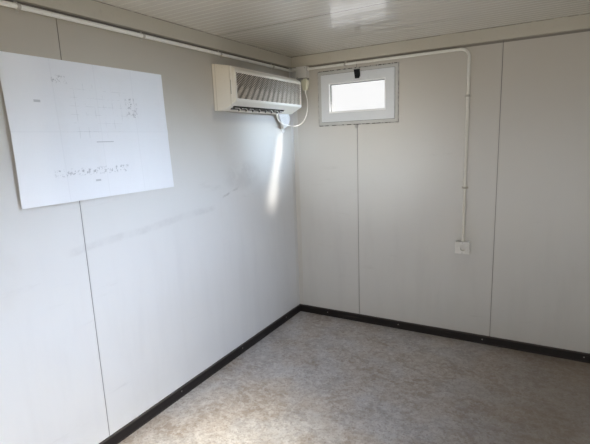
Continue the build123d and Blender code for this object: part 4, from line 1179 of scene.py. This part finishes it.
# %% World
world = bpy.data.worlds.new("studio")
bpy.context.scene.world = world
world.use_nodes = True
sky = world.node_tree.nodes
sky.clear()
AMBIENT = 0.12
path = sky.new("ShaderNodeLightPath")
seen = Wire(path.outputs["Is Camera Ray"])
seen = seen.math("MAXIMUM", Wire(path.outputs["Is Glossy Ray"]))
seen = seen.math("MAXIMUM", Wire(path.outputs["Is Transmission Ray"]))
light = seen.node("ShaderNodeBackground", {}, {"Color": (1.0, 0.98, 0.94, 1), "Strength": AMBIENT})
plain = seen.node("ShaderNodeBackground", {}, {"Color": (1, 1, 1, 1), "Strength": 1.0})
mixed = seen.node("ShaderNodeMixShader", {}, {0: seen, 1: light, 2: plain})
surface = sky.new("ShaderNodeOutputWorld")
world.node_tree.links.new(mixed.socket, surface.inputs["Surface"])
print("ambient light:", AMBIENT)

# %% Lamps
def new_lamp(name, place, turn, size, power, tint, spread):
    """A rectangular lamp; a smaller spread keeps its light together."""
    clear_selection()
    bpy.ops.object.light_add(type="AREA", location=place, rotation=turn)
    lamp = bpy.context.object
    lamp.name = name
    lamp.data.shape = "RECTANGLE"
    lamp.data.size, lamp.data.size_y = size
    lamp.data.energy = power
    lamp.data.color = tint
    lamp.data.spread = radians(spread)
    lamp.visible_camera = False
    return lamp


def soft_lamp(name, place, aim, size, power, tint, spread=180):
    """A rectangular lamp that faces a point."""
    place = Vector(place)
    turn = (Vector(aim) - place).to_track_quat("-Z", "Y").to_euler()
    return new_lamp(name, place, turn, size, power, tint, spread)


soft_lamp("daylight", room(5.3, -2.3, 3.2), room(0, -2.15, 0.75), (1.2, 1.3), 22.0, (0.62, 0.73, 0.94), 45)
soft_lamp("door_light", room(4.6, -2.6, 4.6), room(0.1, -2.38, 0.1), (0.8, 0.8), 34.5, (1, 0.92, 0.72), 22)
soft_lamp("bounce", room(1.7, -4.9, 0.6), room(0.5, -0.6, 1.9), (2.6, 1.3), 11.5, (1, 0.93, 0.8), 100)
soft_lamp("side_fill", room(5, -1.8, 1.7), room(0, -1.55, 1.4), (1.4, 0.3), 2.0, (0.66, 0.8, 1), 20)
soft_lamp("corner_fill", room(3.6, -1.2, 2.15), room(0, -0.36, 1.58), (0.3, 0.25), 1.3, (0.62, 0.79, 1), 15)
soft_lamp("end_fill", room(1.9, -4.6, 1.7), room(0.62, 0, 1.45), (0.5, 0.4), 0.8, (0.96, 0.98, 1), 18)
soft_lamp("outside_left", (-6.5, 1.5, 5.5), (-1.0, 0.2, 1.2), (4, 4), 220, (1, 0.99, 0.97))
soft_lamp("outside_back", (1.5, 7.5, 5.0), (0, 1.2, 1.2), (4, 4), 200, (0.97, 0.98, 1))
soft_lamp("overhead", (-1.2, 1.5, 8.0), (0, 0, 2.4), (5, 5), 140, (1, 1, 1))

# %% [markdown]
# Low sun comes through the small window and leaves one slanting patch on the long wall. A narrow lamp
# just inside the pane throws that patch: its rectangle lies square to the sun, and its spread is a few
# degrees, so the edge stays soft.

# %% Patch of low sun
SUN_FROM, PATCH_WIDTH = 0.6, 0.14
sun_way = Vector((-1.0, -0.55, -0.92)).normalized()
patch = Vector((0, -0.3, -0.7))
patch = patch - sun_way * patch.dot(sun_way)
side = (-sun_way).cross(patch.normalized())
sun_turn = Matrix((patch.normalized(), side, -sun_way)).transposed()
sun = new_lamp("sun_patch", room(0, -0.243, 1.36) - SUN_FROM * sun_way, sun_turn.to_euler(),
               (patch.length, PATCH_WIDTH), 0.33, (1.0, 0.94, 0.87), 11)
sun.visible_glossy = False

# %% Colours as written
bpy.context.scene.view_settings.view_transform = "Standard"

# %% Finish with a clear selection
clear_selection()
